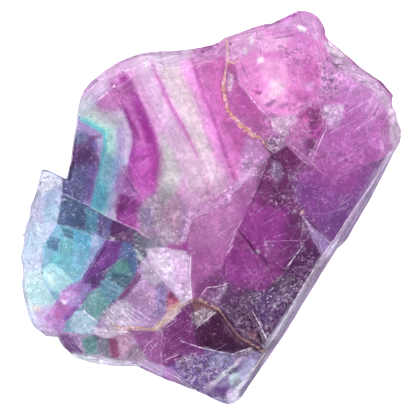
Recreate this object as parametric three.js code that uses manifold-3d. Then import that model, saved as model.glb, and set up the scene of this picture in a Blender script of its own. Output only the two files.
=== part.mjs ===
// A rough slab of banded fluorite, split from a larger mass and lying on its flat underside.
//
// It is one solid. Its side wall is lofted from an outline and split back in flat cleaves, its top
// is a net of flat cleavage facets, and ledges, splintered ribs, clay-filled seams and chips are
// cut from it.
//
// Frame: millimetres, +Z up. The origin is on the resting face's level, in the middle of the
// slab's plan. +Y is its long way, and the long straight cleavage bevel faces +X and -Y.

import * as THREE from 'three';
import { mergeVertices } from 'three/addons/utils/BufferGeometryUtils.js';
import Module from 'manifold-3d';

const wasm = await Module();
wasm.setup();

// ---- Driving dimensions ----------------------------------------------------------------------

const TABLE = 11; // the level at which each stretch of the wall gives its lean
const CROWN = 14; // the uncut block's top, above every facet
const RIM_STEP = 1.5; // spacing of the points of the broken outline
const RIM_BLEND = 2; // neighbours each way over which wall shapes run into each other
const WALL_BULGE = 0.36; // share of the lean that the wall has at half its height
const WALL_WANDER = 0.55; // how far the wall's middle edge rises and falls at random
const GIRDLE_WANDER = 2.75; // the same for the girdle, for each millimetre of jag
const HEART = new THREE.Vector2(-8, -8); // every point of the outline can be seen from here
const LEAST_FACING = 0.6; // limits how far a wall point slides towards the heart
const SEAM_WIDTH = 1.0; // the clay-filled cracks' mouth
const SEAM_DEPTH = 0.45;
const GROOVE_CLEARANCE = 3; // how far a groove's cut goes up past its mouth
const CLEAVES = 34; // flat breaks around the upper wall
const CLEAVE_WIDTH = [3, 9]; // least and greatest, as for every pair below
const CLEAVE_TILT = [12, 34]; // degrees from upright
const CLEAVE_RISE = [0.25, 0.65]; // where on the wall one starts, from its girdle up to its rim
const CLEAVE_BITE = [0.05, 0.45]; // how far it cuts behind the wall there
const GIRDLE_BAND = 0.3; // height on each side of the girdle that flat breaks leave alone
const UNDERCUTS = 18; // flat breaks around the lower wall
const UNDERCUT_TILT = [20, 46];
const CHIPS = 58; // angular chips along the rim
const CHIP_RADIUS = [0.8, 2.4];
const CHIP_BITE = 0.3; // share of its radius that a chip cuts below the rim
const BELOW = -6; // well under the slab
const OVERLAP = 0.07; // how far neighbouring facet cuts run into each other
const SLIVER = 0.02; // details smaller than this are smoothed away
const SEED = 22;

// ---- The outline, counter-clockwise seen from above ------------------------------------------
//
// girdle: the level where the wall stands out furthest. lean: how far it leans in from there at
// TABLE. foot: how far it draws in at the resting face. jag: how ragged the break is. A clean
// stretch is one cleavage plane with nothing split from it.

const OUTLINE = [
  {
    name: 'corner crystal', girdle: 3.6, lean: 0.5, foot: 1.0, jag: 0.06, clean: true,
    through: [[-28.7, 5.9], [-32.9, 7.9], [-33.7, 7.5], [-34.5, 3.9]],
  },
  {
    name: 'west break', girdle: 3.2, lean: 1.5, foot: 1.6, jag: 0.14,
    through: [
      [-34.5, 3.9], [-35.9, 0.3], [-36.1, -2.1], [-37.7, -6.1], [-38.1, -8.9], [-37.3, -12.9],
      [-37.7, -15.3], [-37.3, -18.5], [-36.1, -22.1], [-35.1, -24.1], [-32.7, -25.7], [-30.5, -26.1],
    ],
  },
  {
    name: 'south rim', girdle: 2.4, lean: 3.4, foot: 1.2, jag: 0.1,
    through: [
      [-30.5, -26.1], [-29.1, -28.3], [-27.1, -30.1], [-23.5, -31.3], [-18.3, -31.9],
      [-14.5, -31.9], [-9.9, -34.1], [-2.9, -36.7], [0.1, -38.1],
    ],
  },
  {
    name: 'tip', girdle: 1.6, lean: 3.0, foot: 0.9, jag: 0.08, round: true,
    through: [[0.1, -38.1], [2.5, -39.3], [4.1, -39.4], [5.5, -38.9], [6.7, -37.7]],
  },
  {
    name: 'long bevel', girdle: 0.9, lean: 2.9, foot: 0.5, jag: 0.03, clean: true,
    through: [
      [6.7, -37.7], [14.7, -26.1], [23.1, -12.5], [25.7, -8.3], [26.7, -7.5], [27.7, -6.3],
      [31.9, 0.9], [36.1, 8.9], [38.3, 13.1],
    ],
  },
  {
    name: 'east rim', girdle: 2.8, lean: 2.1, foot: 1.2, jag: 0.2,
    through: [[38.3, 13.1], [38.3, 15.5], [37.3, 19.1], [36.5, 20.9], [36.9, 22.5]],
  },
  {
    name: 'north-east rim', girdle: 3.6, lean: 1.9, foot: 1.6, jag: 0.07,
    through: [[36.9, 22.5], [34.5, 25.3], [30.9, 27.7], [28.1, 30.1], [24.1, 33.3], [23.3, 34.3]],
  },
  {
    name: 'crown', girdle: 4.4, lean: 1.5, foot: 2.0, jag: 0.09, round: true,
    through: [
      [23.3, 34.3], [23.1, 35.9], [21.7, 38.3], [19.5, 39.3], [17.7, 39.4], [14.5, 37.9],
      [12.1, 36.7], [10.5, 36.7], [7.3, 35.5], [3.1, 34.1], [1.7, 33.1],
    ],
  },
  {
    name: 'north shoulder', girdle: 3.6, lean: 2.6, foot: 1.8, jag: 0.07, round: true,
    through: [
      [1.7, 33.1], [-0.7, 32.3], [-6.3, 31.5], [-12.9, 31.1], [-18.3, 29.1], [-23.5, 25.5],
      [-25.5, 22.9], [-26.3, 20.5],
    ],
  },
  {
    name: 'north-west break', girdle: 3.0, lean: 0.6, foot: 1.4, jag: 0.05, clean: true,
    through: [[-26.3, 20.5], [-27.1, 15.1], [-27.9, 9.5], [-28.7, 5.9]],
  },
];

// ---- The net of facets -----------------------------------------------------------------------
//
// Corners as [x, y, height]. A facet is the plane that best fits its corners, so that facets which
// share corners meet within a fraction of a millimetre, in the small ledges that cleavage leaves.

const CORNERS = {
  // beyond the outline, so that the rim facets reach past it
  out_west: [-40.3, 0.5, 7.0],
  out_south_west: [-40.9, -24.5, 5.6],
  out_corner: [-35.1, 10.3, 7.6],
  out_notch: [-29.9, 7.9, 8.6],
  out_north_west: [-30.3, 37.1, 9.4],
  out_south: [-29.9, -32.9, 5.6],
  out_mid_south: [-11.9, -36.1, 5.8],
  out_crown: [18.1, 42.3, 10.4],
  out_crown_east: [27.1, 37.1, 10.6],
  out_north_east: [41.7, 26.3, 8.9],
  out_east: [42.9, 11.5, 8.9],
  out_long: [32.5, -4.9, 8.6],
  out_field: [16.1, -28.9, 7.2],
  out_tip: [4.5, -42.5, 3.6],
  out_foot: [-6.9, -38.1, 4.4],
  // the seam between the banded window and the pink lump
  seam_top: [1.9, 37.1, 10.4],
  seam_a: [3.3, 29.1, 11.0],
  seam_b: [2.7, 23.9, 11.3],
  seam_c: [3.9, 17.9, 11.5],
  seam_d: [9.3, 13.5, 11.3],
  seam_end: [11.9, 10.1, 10.7],
  // the wavy ledge under the window
  tongue_a: [10.5, 8.3, 11.1],
  tongue_b: [6.1, 5.3, 11.3],
  tongue_c: [-0.3, 0.5, 11.2],
  tongue_d: [-3.7, -1.7, 11.1],
  window_foot: [-4.3, -8.7, 10.6],
  window_toe: [-12.3, -8.7, 10.4],
  window_heel: [-14.3, -4.7, 10.8],
  crack_mid: [-20.3, -1.9, 10.6],
  crack_rim: [-29.3, 3.5, 9.6],
  // the blue-green block and its terraces
  block_top: [-30.3, -3.1, 8.9],
  block_step: [-21.1, -6.1, 9.3],
  block_edge: [-25.5, -14.7, 8.9],
  block_low: [-30.3, -19.5, 8.2],
  block_west: [-33.3, -7.7, 8.5],
  block_south_west: [-33.7, -13.7, 8.2],
  gully_top: [-16.5, -7.1, 8.6],
  gully_mid: [-19.9, -12.7, 8.2],
  gully_low: [-25.1, -18.9, 7.8],
  gully_end: [-30.5, -24.7, 7.0],
  gully_mouth: [-32.7, -23.7, 7.0],
  terrace_top: [-14.1, -11.3, 8.9],
  terrace_mid: [-17.9, -17.7, 8.6],
  terrace_low: [-22.3, -22.9, 8.2],
  frost_left: [-8.9, -14.5, 9.6],
  // the strip along the south rim
  strip_a: [-23.9, -25.5, 7.6],
  strip_b: [-17.7, -25.7, 7.8],
  strip_c: [-9.9, -24.5, 8.2],
  strip_d: [-9.3, -27.7, 7.8],
  strip_e: [-9.9, -32.1, 6.6],
  // the second seam, from the south-west terraces to the long bevel
  seam2_start: [-18.3, -23.9, 8.4],
  seam2_knee: [-10.3, -23.7, 8.6],
  seam2_rise: [-8.5, -21.9, 8.8],
  seam2_corner: [-5.7, -19.3, 9.2],
  seam2_top: [-3.5, -18.5, 9.6],
  seam2_crest: [-1.7, -18.5, 9.8],
  seam2_bend: [2.5, -20.5, 9.7],
  seam2_mid: [5.3, -24.1, 9.3],
  seam2_low: [7.7, -26.1, 8.9],
  seam2_end: [10.9, -28.5, 8.2],
  // the ridge down the middle, and the dark core east of it
  ridge_a: [9.1, 3.1, 10.9],
  ridge_b: [6.7, -2.5, 10.9],
  ridge_c: [4.1, -8.3, 10.8],
  ridge_d: [2.3, -11.7, 10.5],
  ridge_e: [0.3, -15.7, 10.1],
  gusset_top: [4.1, -14.7, 10.3],
  gusset_foot: [1.9, -19.7, 9.9],
  core_top: [15.3, 6.5, 10.5],
  core_east: [18.3, -1.5, 10.8],
  core_south_east: [18.1, -6.7, 10.5],
  core_foot: [15.5, -12.1, 10.2],
  core_south: [10.5, -16.7, 9.9],
  wedge_east: [22.7, -10.1, 10.1],
  wedge_foot: [21.5, -11.3, 10.0],
  gusset_east: [25.3, -7.9, 9.8],
  long_a: [35.9, 10.3, 9.8],
  // the pink lump, its flank and its toe
  lump_corner: [10.7, 19.1, 12.0],
  lump_west: [5.9, 24.1, 11.9],
  lump_north_west: [4.7, 29.9, 11.5],
  lump_east: [22.3, 29.1, 11.9],
  lump_south_east: [21.7, 21.5, 12.2],
  lump_mid: [18.3, 20.5, 12.3],
  lump_foot: [14.7, 17.9, 12.2],
  toe_west: [10.5, 17.3, 11.6],
  toe_east: [23.1, 15.5, 11.7],
  toe_low: [19.7, 11.1, 11.3],
  toe_foot: [19.1, 8.5, 11.2],
  toe_notch: [15.1, 12.1, 11.0],
  plain_mid: [24.1, 5.5, 11.2],
  rim_north_east: [26.1, 31.9, 10.9],
  // the well under the second seam, and the frosted foot
  well_west: [-3.3, -22.7, 8.6],
  well_low: [-0.9, -27.7, 7.9],
  well_south: [4.5, -29.3, 7.4],
  foot_north_west: [-7.5, -31.7, 6.6],
  foot_north: [-1.3, -29.9, 7.2],
  foot_mid: [1.3, -34.1, 5.9],
  foot_south: [-1.7, -36.7, 5.0],
};

// Each facet's corners, counter-clockwise, and how far it lies sunk below the plane they give.
const FACETS = {
  banded_window: {
    sunk: 0,
    corners: [
      'out_north_west', 'out_notch', 'crack_rim', 'crack_mid', 'window_heel', 'window_toe',
      'window_foot', 'tongue_d', 'tongue_c', 'tongue_b', 'tongue_a', 'seam_end', 'seam_d',
      'seam_c', 'seam_b', 'seam_a', 'seam_top',
    ],
  },
  corner_crystal: {
    sunk: 0.5,
    corners: ['out_corner', 'out_west', 'block_west', 'block_top', 'crack_rim', 'out_notch'],
  },
  blue_wedge: {
    sunk: 0.2,
    corners: ['crack_rim', 'block_top', 'block_step', 'window_heel', 'crack_mid'],
  },
  dark_hollow: {
    sunk: 0.5,
    corners: ['window_heel', 'block_step', 'gully_top', 'terrace_top', 'window_toe'],
  },
  cyan_block: {
    sunk: -0.3,
    corners: ['block_top', 'block_west', 'block_south_west', 'block_low', 'block_edge', 'block_step'],
  },
  pale_shore: {
    sunk: 0.1,
    corners: [
      'block_west', 'out_west', 'out_south_west', 'gully_mouth', 'block_low', 'block_south_west',
    ],
  },
  purple_gully: {
    sunk: 0.5,
    corners: [
      'block_step', 'block_edge', 'block_low', 'gully_mouth', 'gully_end', 'gully_low',
      'gully_mid', 'gully_top',
    ],
  },
  green_terrace: {
    sunk: 0.1,
    corners: [
      'gully_top', 'gully_mid', 'gully_low', 'gully_end', 'strip_a', 'terrace_low',
      'terrace_mid', 'terrace_top',
    ],
  },
  pale_terrace: {
    sunk: 0,
    corners: [
      'terrace_top', 'terrace_mid', 'terrace_low', 'strip_a', 'seam2_start', 'seam2_knee',
      'seam2_rise', 'seam2_corner', 'frost_left', 'window_toe',
    ],
  },
  frost_triangle: {
    sunk: -0.2,
    corners: ['window_toe', 'frost_left', 'seam2_corner', 'seam2_top', 'window_foot'],
  },
  mauve_slope: {
    sunk: 0.45,
    corners: [
      'tongue_d', 'window_foot', 'seam2_top', 'seam2_crest', 'ridge_e', 'ridge_d', 'ridge_c',
      'ridge_b', 'ridge_a', 'seam_end', 'tongue_a', 'tongue_b', 'tongue_c',
    ],
  },
  bottom_strip: {
    sunk: 0.7,
    corners: [
      'gully_mouth', 'out_south_west', 'out_south', 'out_mid_south', 'strip_e', 'strip_d',
      'strip_c', 'strip_b', 'strip_a', 'gully_end',
    ],
  },
  strip_sill: {
    sunk: 0.2,
    corners: ['strip_a', 'strip_b', 'strip_c', 'seam2_knee', 'seam2_start'],
  },
  plum_slope: {
    sunk: 0.3,
    corners: [
      'seam2_knee', 'strip_c', 'strip_d', 'strip_e', 'foot_north_west', 'foot_north', 'well_low',
      'well_west', 'seam2_top', 'seam2_corner', 'seam2_rise',
    ],
  },
  deep_well: {
    sunk: 0.9,
    corners: [
      'seam2_top', 'well_west', 'well_low', 'well_south', 'seam2_end', 'seam2_low', 'seam2_mid',
      'seam2_bend', 'seam2_crest',
    ],
  },
  frosted_foot: {
    sunk: 0.1,
    corners: [
      'foot_north_west', 'strip_e', 'out_mid_south', 'out_foot', 'foot_south', 'foot_mid',
      'well_south', 'well_low', 'foot_north',
    ],
  },
  tip_prism: {
    sunk: 0,
    corners: [
      'well_south', 'foot_mid', 'foot_south', 'out_foot', 'out_tip', 'out_field', 'seam2_end',
    ],
  },
  bright_gusset: {
    sunk: 0,
    corners: ['ridge_e', 'seam2_crest', 'seam2_bend', 'gusset_foot', 'gusset_top', 'ridge_d'],
  },
  frosted_field: {
    sunk: 0,
    corners: [
      'gusset_top', 'gusset_foot', 'seam2_bend', 'seam2_mid', 'seam2_low', 'seam2_end',
      'out_field', 'wedge_foot', 'core_foot', 'core_south',
    ],
  },
  magenta_core: {
    sunk: 0.5,
    corners: [
      'seam_end', 'ridge_a', 'ridge_b', 'ridge_c', 'ridge_d', 'gusset_top', 'core_south',
      'core_foot', 'core_south_east', 'core_east', 'core_top',
    ],
  },
  violet_plain: {
    sunk: 0,
    corners: [
      'core_top', 'core_east', 'gusset_east', 'out_long', 'out_east', 'long_a', 'plain_mid',
      'toe_foot',
    ],
  },
  lilac_gusset: { sunk: 0.4, corners: ['core_east', 'wedge_east', 'gusset_east'] },
  plum_wedge: {
    sunk: 0.15,
    corners: ['core_east', 'core_south_east', 'core_foot', 'wedge_foot', 'wedge_east'],
  },
  long_sill: {
    sunk: 0.3,
    corners: ['wedge_east', 'wedge_foot', 'out_field', 'out_long', 'gusset_east'],
  },
  right_plain: {
    sunk: 0,
    corners: [
      'lump_east', 'lump_south_east', 'toe_east', 'toe_low', 'toe_foot', 'plain_mid', 'long_a',
      'out_east', 'out_north_east', 'rim_north_east',
    ],
  },
  pink_lump: {
    sunk: -0.2,
    corners: [
      'seam_top', 'seam_a', 'lump_north_west', 'lump_west', 'lump_corner', 'lump_foot',
      'lump_mid', 'lump_south_east', 'lump_east', 'rim_north_east', 'out_north_east',
      'out_crown_east', 'out_crown',
    ],
  },
  lump_flank: {
    sunk: 0.3,
    corners: [
      'seam_a', 'seam_b', 'seam_c', 'seam_d', 'toe_west', 'lump_corner', 'lump_west',
      'lump_north_west',
    ],
  },
  lump_toe: {
    sunk: 0.2,
    corners: [
      'lump_corner', 'toe_west', 'seam_d', 'seam_end', 'toe_notch', 'toe_foot', 'toe_low',
      'toe_east', 'lump_south_east', 'lump_mid', 'lump_foot',
    ],
  },
  dark_quad: { sunk: 0.6, corners: ['seam_end', 'core_top', 'toe_foot', 'toe_notch'] },
};

// Shallow plates split off inside a facet, each with its edge and the depth that came away.
const PLATES = [
  {
    name: 'lump west shelf', facet: 'pink_lump', depth: 0.7,
    edge: [[2.3, 37.5], [3.1, 29.1], [6.1, 29.5], [10.5, 30.3], [10.3, 38.9]],
  },
  {
    name: 'lump crown shelf', facet: 'pink_lump', depth: 0.55,
    edge: [[10.3, 34.3], [18.1, 35.1], [22.3, 32.3], [25.1, 33.5], [26.1, 41.5], [10.3, 41.5]],
  },
  {
    name: 'lump inner step', facet: 'pink_lump', depth: 0.3,
    edge: [[10.5, 29.7], [16.9, 29.3], [18.5, 23.1], [14.1, 18.6], [11.2, 19.7], [6.7, 24.3]],
  },
  {
    name: 'north-east frost', facet: 'right_plain', depth: 0.5,
    edge: [[22.5, 28.9], [22.2, 21.9], [26.9, 21.1], [28.9, 26.5], [27.1, 29.7]],
  },
  {
    name: 'east rim ledge', facet: 'right_plain', depth: 1.1,
    edge: [[36.1, 11.5], [42.5, 11.5], [42.5, 22.5], [35.5, 21.5]],
  },
  {
    name: 'right plain lip', facet: 'right_plain', depth: 0.35,
    edge: [[31.1, 24.9], [35.3, 20.5], [41.5, 21.5], [37.5, 29.5], [28.5, 31.5]],
  },
  {
    name: 'shoulder shelf', facet: 'banded_window', depth: 0.4,
    edge: [[-27.5, 20.7], [-17.3, 24.5], [-11.9, 28.7], [-0.9, 30.7], [1.3, 36.5], [-29.9, 36.9]],
  },
  {
    name: 'tongue hollow', facet: 'banded_window', depth: 0.35,
    edge: [[3.5, 15.9], [8.9, 12.9], [10.7, 9.6], [5.7, 6.3], [0.9, 2.3], [1.7, 8.5]],
  },
  {
    name: 'blue pit', facet: 'cyan_block', depth: 0.8,
    edge: [[-32.5, -7.9], [-30.7, -5.9], [-29.5, -6.9], [-29.5, -9.3], [-31.3, -9.5]],
  },
  {
    name: 'shore ledge', facet: 'pale_shore', depth: 0.6,
    edge: [[-40.5, -15.1], [-33.9, -16.1], [-31.7, -19.5], [-33.7, -23.3], [-40.7, -24.3]],
  },
  {
    name: 'terrace ledge', facet: 'pale_terrace', depth: 0.5,
    edge: [
      [-21.9, -23.1], [-16.9, -18.3], [-13.1, -21.5], [-12.5, -23.7], [-18.3, -23.9],
      [-23.5, -25.2],
    ],
  },
  {
    name: 'field ledge', facet: 'frosted_field', depth: 0.45,
    edge: [
      [7.1, -20.5], [14.9, -17.9], [19.9, -12.7], [24.5, -12.5], [16.1, -28.9], [10.9, -28.3],
      [10.1, -24.5],
    ],
  },
  {
    name: 'violet step', facet: 'violet_plain', depth: 0.25,
    edge: [[24.3, -0.9], [34.7, 2.9], [35.5, -0.5], [32.5, -4.7], [25.7, -7.6], [18.9, -2.1]],
  },
];

// Splintered cleavage: rows of parallel V-grooves. Each row starts on from-to and steps by `step`.
const RIBS = [
  {
    name: 'tip prisms', facet: 'tip_prism',
    from: [10.7, -29.7], to: [-1.3, -37.1], step: [1.25, -1.05], count: 5, width: 1.3, depth: 0.75,
  },
  {
    name: 'terrace ribs', facet: 'pale_terrace',
    from: [-14.9, -18.5], to: [-20.3, -22.7], step: [1.15, -0.75], count: 4, width: 0.9, depth: 0.35,
  },
  {
    name: 'block ribs', facet: 'pale_shore',
    from: [-33.5, -14.5], to: [-30.1, -17.1], step: [1.6, 1.9], count: 3, width: 0.9, depth: 0.4,
  },
  {
    name: 'field ribs', facet: 'frosted_field',
    from: [16.9, -13.3], to: [11.3, -21.9], step: [2.1, -0.9], count: 3, width: 0.8, depth: 0.3,
  },
];

// The clay-filled cracks, as runs of facet corners.
const SEAMS = [
  ['seam_top', 'seam_a', 'seam_b', 'seam_c', 'seam_d', 'seam_end'],
  [
    'seam2_start', 'seam2_knee', 'seam2_rise', 'seam2_corner', 'seam2_crest', 'seam2_bend',
    'seam2_mid', 'seam2_low', 'seam2_end',
  ],
];

// Flat breaks that lift the underside off the table towards the rim: the line where each starts,
// with the slab's outside on its right-hand side, and its rise in degrees.
const UNDERSIDE = [
  { name: 'west rise', hinge: [[-25.5, 12], [-23.5, -24]], rise: 14 },
  { name: 'north-west rise', hinge: [[-4, 25], [-21, 8]], rise: 9 },
  { name: 'crown rise', hinge: [[24, 26], [-2, 24.5]], rise: 12 },
  { name: 'east rise', hinge: [[31.5, 6], [27, 27]], rise: 16 },
  { name: 'south rise', hinge: [[-22, -20], [2, -31]], rise: 12 },
];

// Plates missing from the underside, with the depth that came away.
const UNDER_PLATES = [
  {
    name: 'long step', depth: 0.7,
    edge: [[4.5, -40.5], [12.5, -24.5], [22.9, -8.1], [31.5, 4.1], [44.5, 12.5], [14.5, -44.5]],
  },
  {
    name: 'crown step', depth: 0.9,
    edge: [[9.5, 44.5], [10.5, 27.5], [17.9, 21.5], [26.5, 23.5], [44.5, 30.5], [40.5, 44.5]],
  },
  {
    name: 'west step', depth: 0.6,
    edge: [[-44.5, 9.5], [-28.5, 5.5], [-22.5, -6.5], [-27.5, -17.5], [-44.5, -22.5]],
  },
];

// ---- Helpers ---------------------------------------------------------------------------------

// A repeatable source of numbers from 0 to 1.
function randomSource(seed) {
  let state = seed;
  return () => {
    state = (state * 1664525 + 1013904223) % 4294967296;
    return state / 4294967296;
  };
}

const random = randomSource(SEED);
const wander = (size) => (random() * 2 - 1) * size;
const between = ([least, most], power = 1) => least + (most - least) * random() ** power;

// Closed surface from rings of equal length, each a list of Vector3. caps are the triangles that
// close the first and the last ring, as indices into a ring.
function loft(rings, firstCap, lastCap) {
  const count = rings[0].length;
  const faces = [];
  for (let level = 0; level + 1 < rings.length; level++) {
    for (let i = 0; i < count; i++) {
      const here = level * count + i;
      const next = level * count + ((i + 1) % count);
      faces.push(here, next, next + count, here, next + count, here + count);
    }
  }
  const last = (rings.length - 1) * count;
  for (const [a, b, c] of firstCap) faces.push(a, c, b);
  for (const [a, b, c] of lastCap) faces.push(last + a, last + b, last + c);
  return new THREE.BufferGeometry().setFromPoints(rings.flat()).setIndex(faces);
}

function flatCap(ring) {
  return THREE.ShapeUtils.triangulateShape(ring.map(({ x, y }) => new THREE.Vector2(x, y)), []);
}

// A closed three.js geometry as a solid that can be joined and cut.
function solidFrom(geometry) {
  const bare = geometry.index ? geometry.clone() : geometry;
  for (const name of ['normal', 'uv']) bare.deleteAttribute(name);
  const merged = mergeVertices(bare, 1e-4);
  return new wasm.Manifold(new wasm.Mesh({
    numProp: 3,
    vertProperties: merged.attributes.position.array,
    triVerts: new Uint32Array(merged.index.array),
  }));
}

// An outline grown by a small margin, so that facets cut beside each other leave nothing between.
function grown(outline, margin) {
  const corners = outline.map(([x, y]) => new THREE.Vector2(x, y));
  const outwards = corners.map((corner, i) => {
    const edge = corners[(i + 1) % corners.length].clone().sub(corner).normalize();
    return new THREE.Vector2(edge.y, -edge.x);
  });
  return corners.map((corner, i) => {
    const [before, after] = [outwards.at(i - 1), outwards[i]];
    const share = margin / Math.max(0.4, 1 + before.dot(after));
    return corner.clone().add(before.clone().add(after).multiplyScalar(share)).toArray();
  });
}

// The solid between two surfaces z = low(x, y) and z = high(x, y) over an outline.
function slantedPrism(outline, low, high) {
  const shape = new THREE.Shape(outline.map(([x, y]) => new THREE.Vector2(x, y)));
  const prism = new THREE.ExtrudeGeometry(shape, { depth: 1, bevelEnabled: false });
  const place = prism.attributes.position;
  for (let i = 0; i < place.count; i++) {
    const [x, y] = [place.getX(i), place.getY(i)];
    place.setZ(i, place.getZ(i) < 0.5 ? low(x, y) : high(x, y));
  }
  return solidFrom(prism);
}

// The plane z = a x + b y + c that lies closest to the points, as a function of x and y.
function planeThrough(points, sunk) {
  const sums = new THREE.Matrix3().set(0, 0, 0, 0, 0, 0, 0, 0, 0);
  const right = new THREE.Vector3();
  for (const [x, y, z] of points) {
    const row = [x, y, 1];
    row.forEach((u, i) => row.forEach((v, j) => { sums.elements[3 * j + i] += u * v; }));
    right.add(new THREE.Vector3(...row).multiplyScalar(z));
  }
  const { x: a, y: b, z: c } = right.applyMatrix3(sums.invert());
  return (x, y) => a * x + b * y + c - sunk;
}

// ---- The side wall ---------------------------------------------------------------------------

// Points along one stretch, without its last, which the next stretch starts with.
function stretchPoints({ through, round }) {
  const knots = through.map(([x, y]) => new THREE.Vector2(x, y));
  if (round) {
    const curve = new THREE.SplineCurve(knots);
    return curve.getSpacedPoints(Math.ceil(curve.getLength() / RIM_STEP)).slice(0, -1);
  }
  return knots.slice(1).flatMap((end, i) => {
    const start = knots[i];
    const pieces = Math.ceil(start.distanceTo(end) / RIM_STEP);
    return Array.from({ length: pieces }, (_, k) => start.clone().lerp(end, k / pieces));
  });
}

// Every outline point with the wall's shape there, the shapes run into each other.
function wallPoints() {
  const raw = OUTLINE.flatMap((stretch) => stretchPoints(stretch).map((at) => ({ at, stretch })));
  return raw.map(({ at, stretch }, i) => {
    const near = (k) => raw[(i + k + raw.length) % raw.length];
    const outward = near(1).at.clone().sub(near(-1).at).normalize();
    outward.set(outward.y, -outward.x);
    const blended = (key) => {
      let sum = 0;
      for (let k = -RIM_BLEND; k <= RIM_BLEND; k++) sum += near(k).stretch[key];
      return sum / (2 * RIM_BLEND + 1);
    };
    return {
      at: at.clone().addScaledVector(outward, wander(stretch.jag)),
      outward,
      clean: stretch.clean,
      lean: blended('lean'),
      foot: blended('foot'),
      girdle: blended('girdle') + wander(GIRDLE_WANDER * stretch.jag),
      waist: wander(WALL_WANDER),
    };
  });
}

// A wall point drawn in by `inset` at level z. It slides along its ray from HEART, so that rays,
// and with them the rings, never cross.
function drawnIn({ at, outward }, inset, z) {
  const ray = at.clone().sub(HEART).normalize();
  const slide = inset / Math.max(LEAST_FACING, ray.dot(outward));
  const moved = at.clone().addScaledVector(ray, -slide);
  return new THREE.Vector3(moved.x, moved.y, z);
}

function block(wall) {
  const rings = [
    wall.map((p) => drawnIn(p, p.foot, 0)),
    wall.map((p) => drawnIn(p, 0, p.girdle)),
    wall.map((p) => drawnIn(p, p.lean * WALL_BULGE, (p.girdle + TABLE) / 2 + p.waist)),
    wall.map((p) => drawnIn(p, p.lean, TABLE)),
    wall.map((p) => drawnIn(p, p.lean, CROWN)),
  ];
  return solidFrom(loft(rings, flatCap(rings[0]), flatCap(rings.at(-1))));
}

// ---- What is cut from the block --------------------------------------------------------------

const facetPlanes = Object.fromEntries(Object.entries(FACETS).map(([name, { corners, sunk }]) => (
  [name, planeThrough(corners.map((corner) => CORNERS[corner]), sunk)]
)));

const above = () => CROWN + 2;

function facetCuts() {
  return Object.entries(FACETS).map(([name, { corners }]) => (
    slantedPrism(grown(corners.map((corner) => CORNERS[corner]), OVERLAP), facetPlanes[name], above)
  ));
}

function plateCuts() {
  return PLATES.map(({ facet, depth, edge }) => (
    slantedPrism(edge, (x, y) => facetPlanes[facet](x, y) - depth, above)
  ));
}

// The level of the cut top at a point of the plan.
function topAt(x, y) {
  const inside = (corners) => {
    let odd = false;
    corners.forEach((name, i) => {
      const [ax, ay] = CORNERS[name];
      const [bx, by] = CORNERS[corners[(i + 1) % corners.length]];
      if (ay > y !== by > y && x < ax + ((y - ay) / (by - ay)) * (bx - ax)) odd = !odd;
    });
    return odd;
  };
  const name = Object.keys(FACETS).find((facet) => inside(FACETS[facet].corners));
  return facetPlanes[name](x, y);
}

const rimLevel = ({ at }) => topAt(at.x, at.y);

// A V-groove along a run of points [x, y, height], its mouth at those heights and open above.
function groove(run, width, depth) {
  const points = run.map((at) => new THREE.Vector3(...at));
  const [up, down] = [new THREE.Vector3(0, 0, GROOVE_CLEARANCE), new THREE.Vector3(0, 0, -depth)];
  const rings = points.map((p, i) => {
    const along = points[Math.min(i + 1, points.length - 1)].clone().sub(points[Math.max(i - 1, 0)]);
    const side = new THREE.Vector3(along.y, -along.x, 0).setLength(width);
    const [right, left] = [p.clone().add(side), p.clone().sub(side)];
    return [right.clone().add(up), right, p.clone().add(down), left, left.clone().add(up)];
  });
  const fan = [[0, 1, 2], [0, 2, 3], [0, 3, 4]];
  return solidFrom(loft(rings, fan, fan));
}

function ribCuts() {
  return RIBS.flatMap(({ facet, from, to, step, count, width, depth }) => (
    Array.from({ length: count }, (_, k) => {
      const [x, y] = [step[0] * k + wander(width / 4), step[1] * k];
      const ends = [from, to].map(([ex, ey]) => [ex + x, ey + y, facetPlanes[facet](ex + x, ey + y)]);
      return groove(ends, width / 2, depth);
    })
  ));
}

// A seam follows the lower side of the step between the facets that meet along it.
function seamCuts() {
  return SEAMS.map((run) => {
    const points = run.map((corner) => {
      const [x, y] = CORNERS[corner];
      const sharing = Object.keys(FACETS).filter((name) => FACETS[name].corners.includes(corner));
      return [x, y, Math.min(...sharing.map((name) => facetPlanes[name](x, y)))];
    });
    return groove(points, SEAM_WIDTH / 2, SEAM_DEPTH);
  });
}

// A flat break: what lies outside a plane that leans in above the level where it starts, or draws
// in below it. It reaches as far to each side as half its width, and stops short of the girdle, so
// that the slab keeps its outline.
function cleave(place, level, bite, tilt, up) {
  const reach = 8;
  const spare = Math.abs(level - place.girdle) - GIRDLE_BAND;
  const height = spare + 2 * reach;
  const slice = new THREE.BoxGeometry(reach, between(CLEAVE_WIDTH), height);
  slice.translate(reach / 2, 0, (up * height) / 2 - up * spare);
  slice.rotateY(-up * THREE.MathUtils.degToRad(tilt));
  slice.rotateZ(place.outward.angle() + wander(0.2));
  const lean = Math.max(0, (place.lean * (level - place.girdle)) / (TABLE - place.girdle));
  const start = drawnIn(place, lean + bite, level);
  return solidFrom(slice.translate(start.x, start.y, start.z));
}

// Places spread evenly along the wall, each shifted a little at random.
function spread(wall, count) {
  const pick = (k) => Math.floor(((k + random()) / count) * wall.length);
  return Array.from({ length: count }, (_, k) => wall[pick(k)]);
}

function cleaveCuts(wall) {
  const rough = wall.filter((place) => !place.clean);
  const upper = spread(rough, CLEAVES).map((place) => {
    const level = THREE.MathUtils.lerp(place.girdle, rimLevel(place), between(CLEAVE_RISE));
    return cleave(place, level, between(CLEAVE_BITE), between(CLEAVE_TILT), 1);
  });
  const lower = spread(rough, UNDERCUTS).map((place) => (
    cleave(place, place.girdle - 2 * GIRDLE_BAND, 0, between(UNDERCUT_TILT), -1)
  ));
  return [...upper, ...lower];
}

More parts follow.
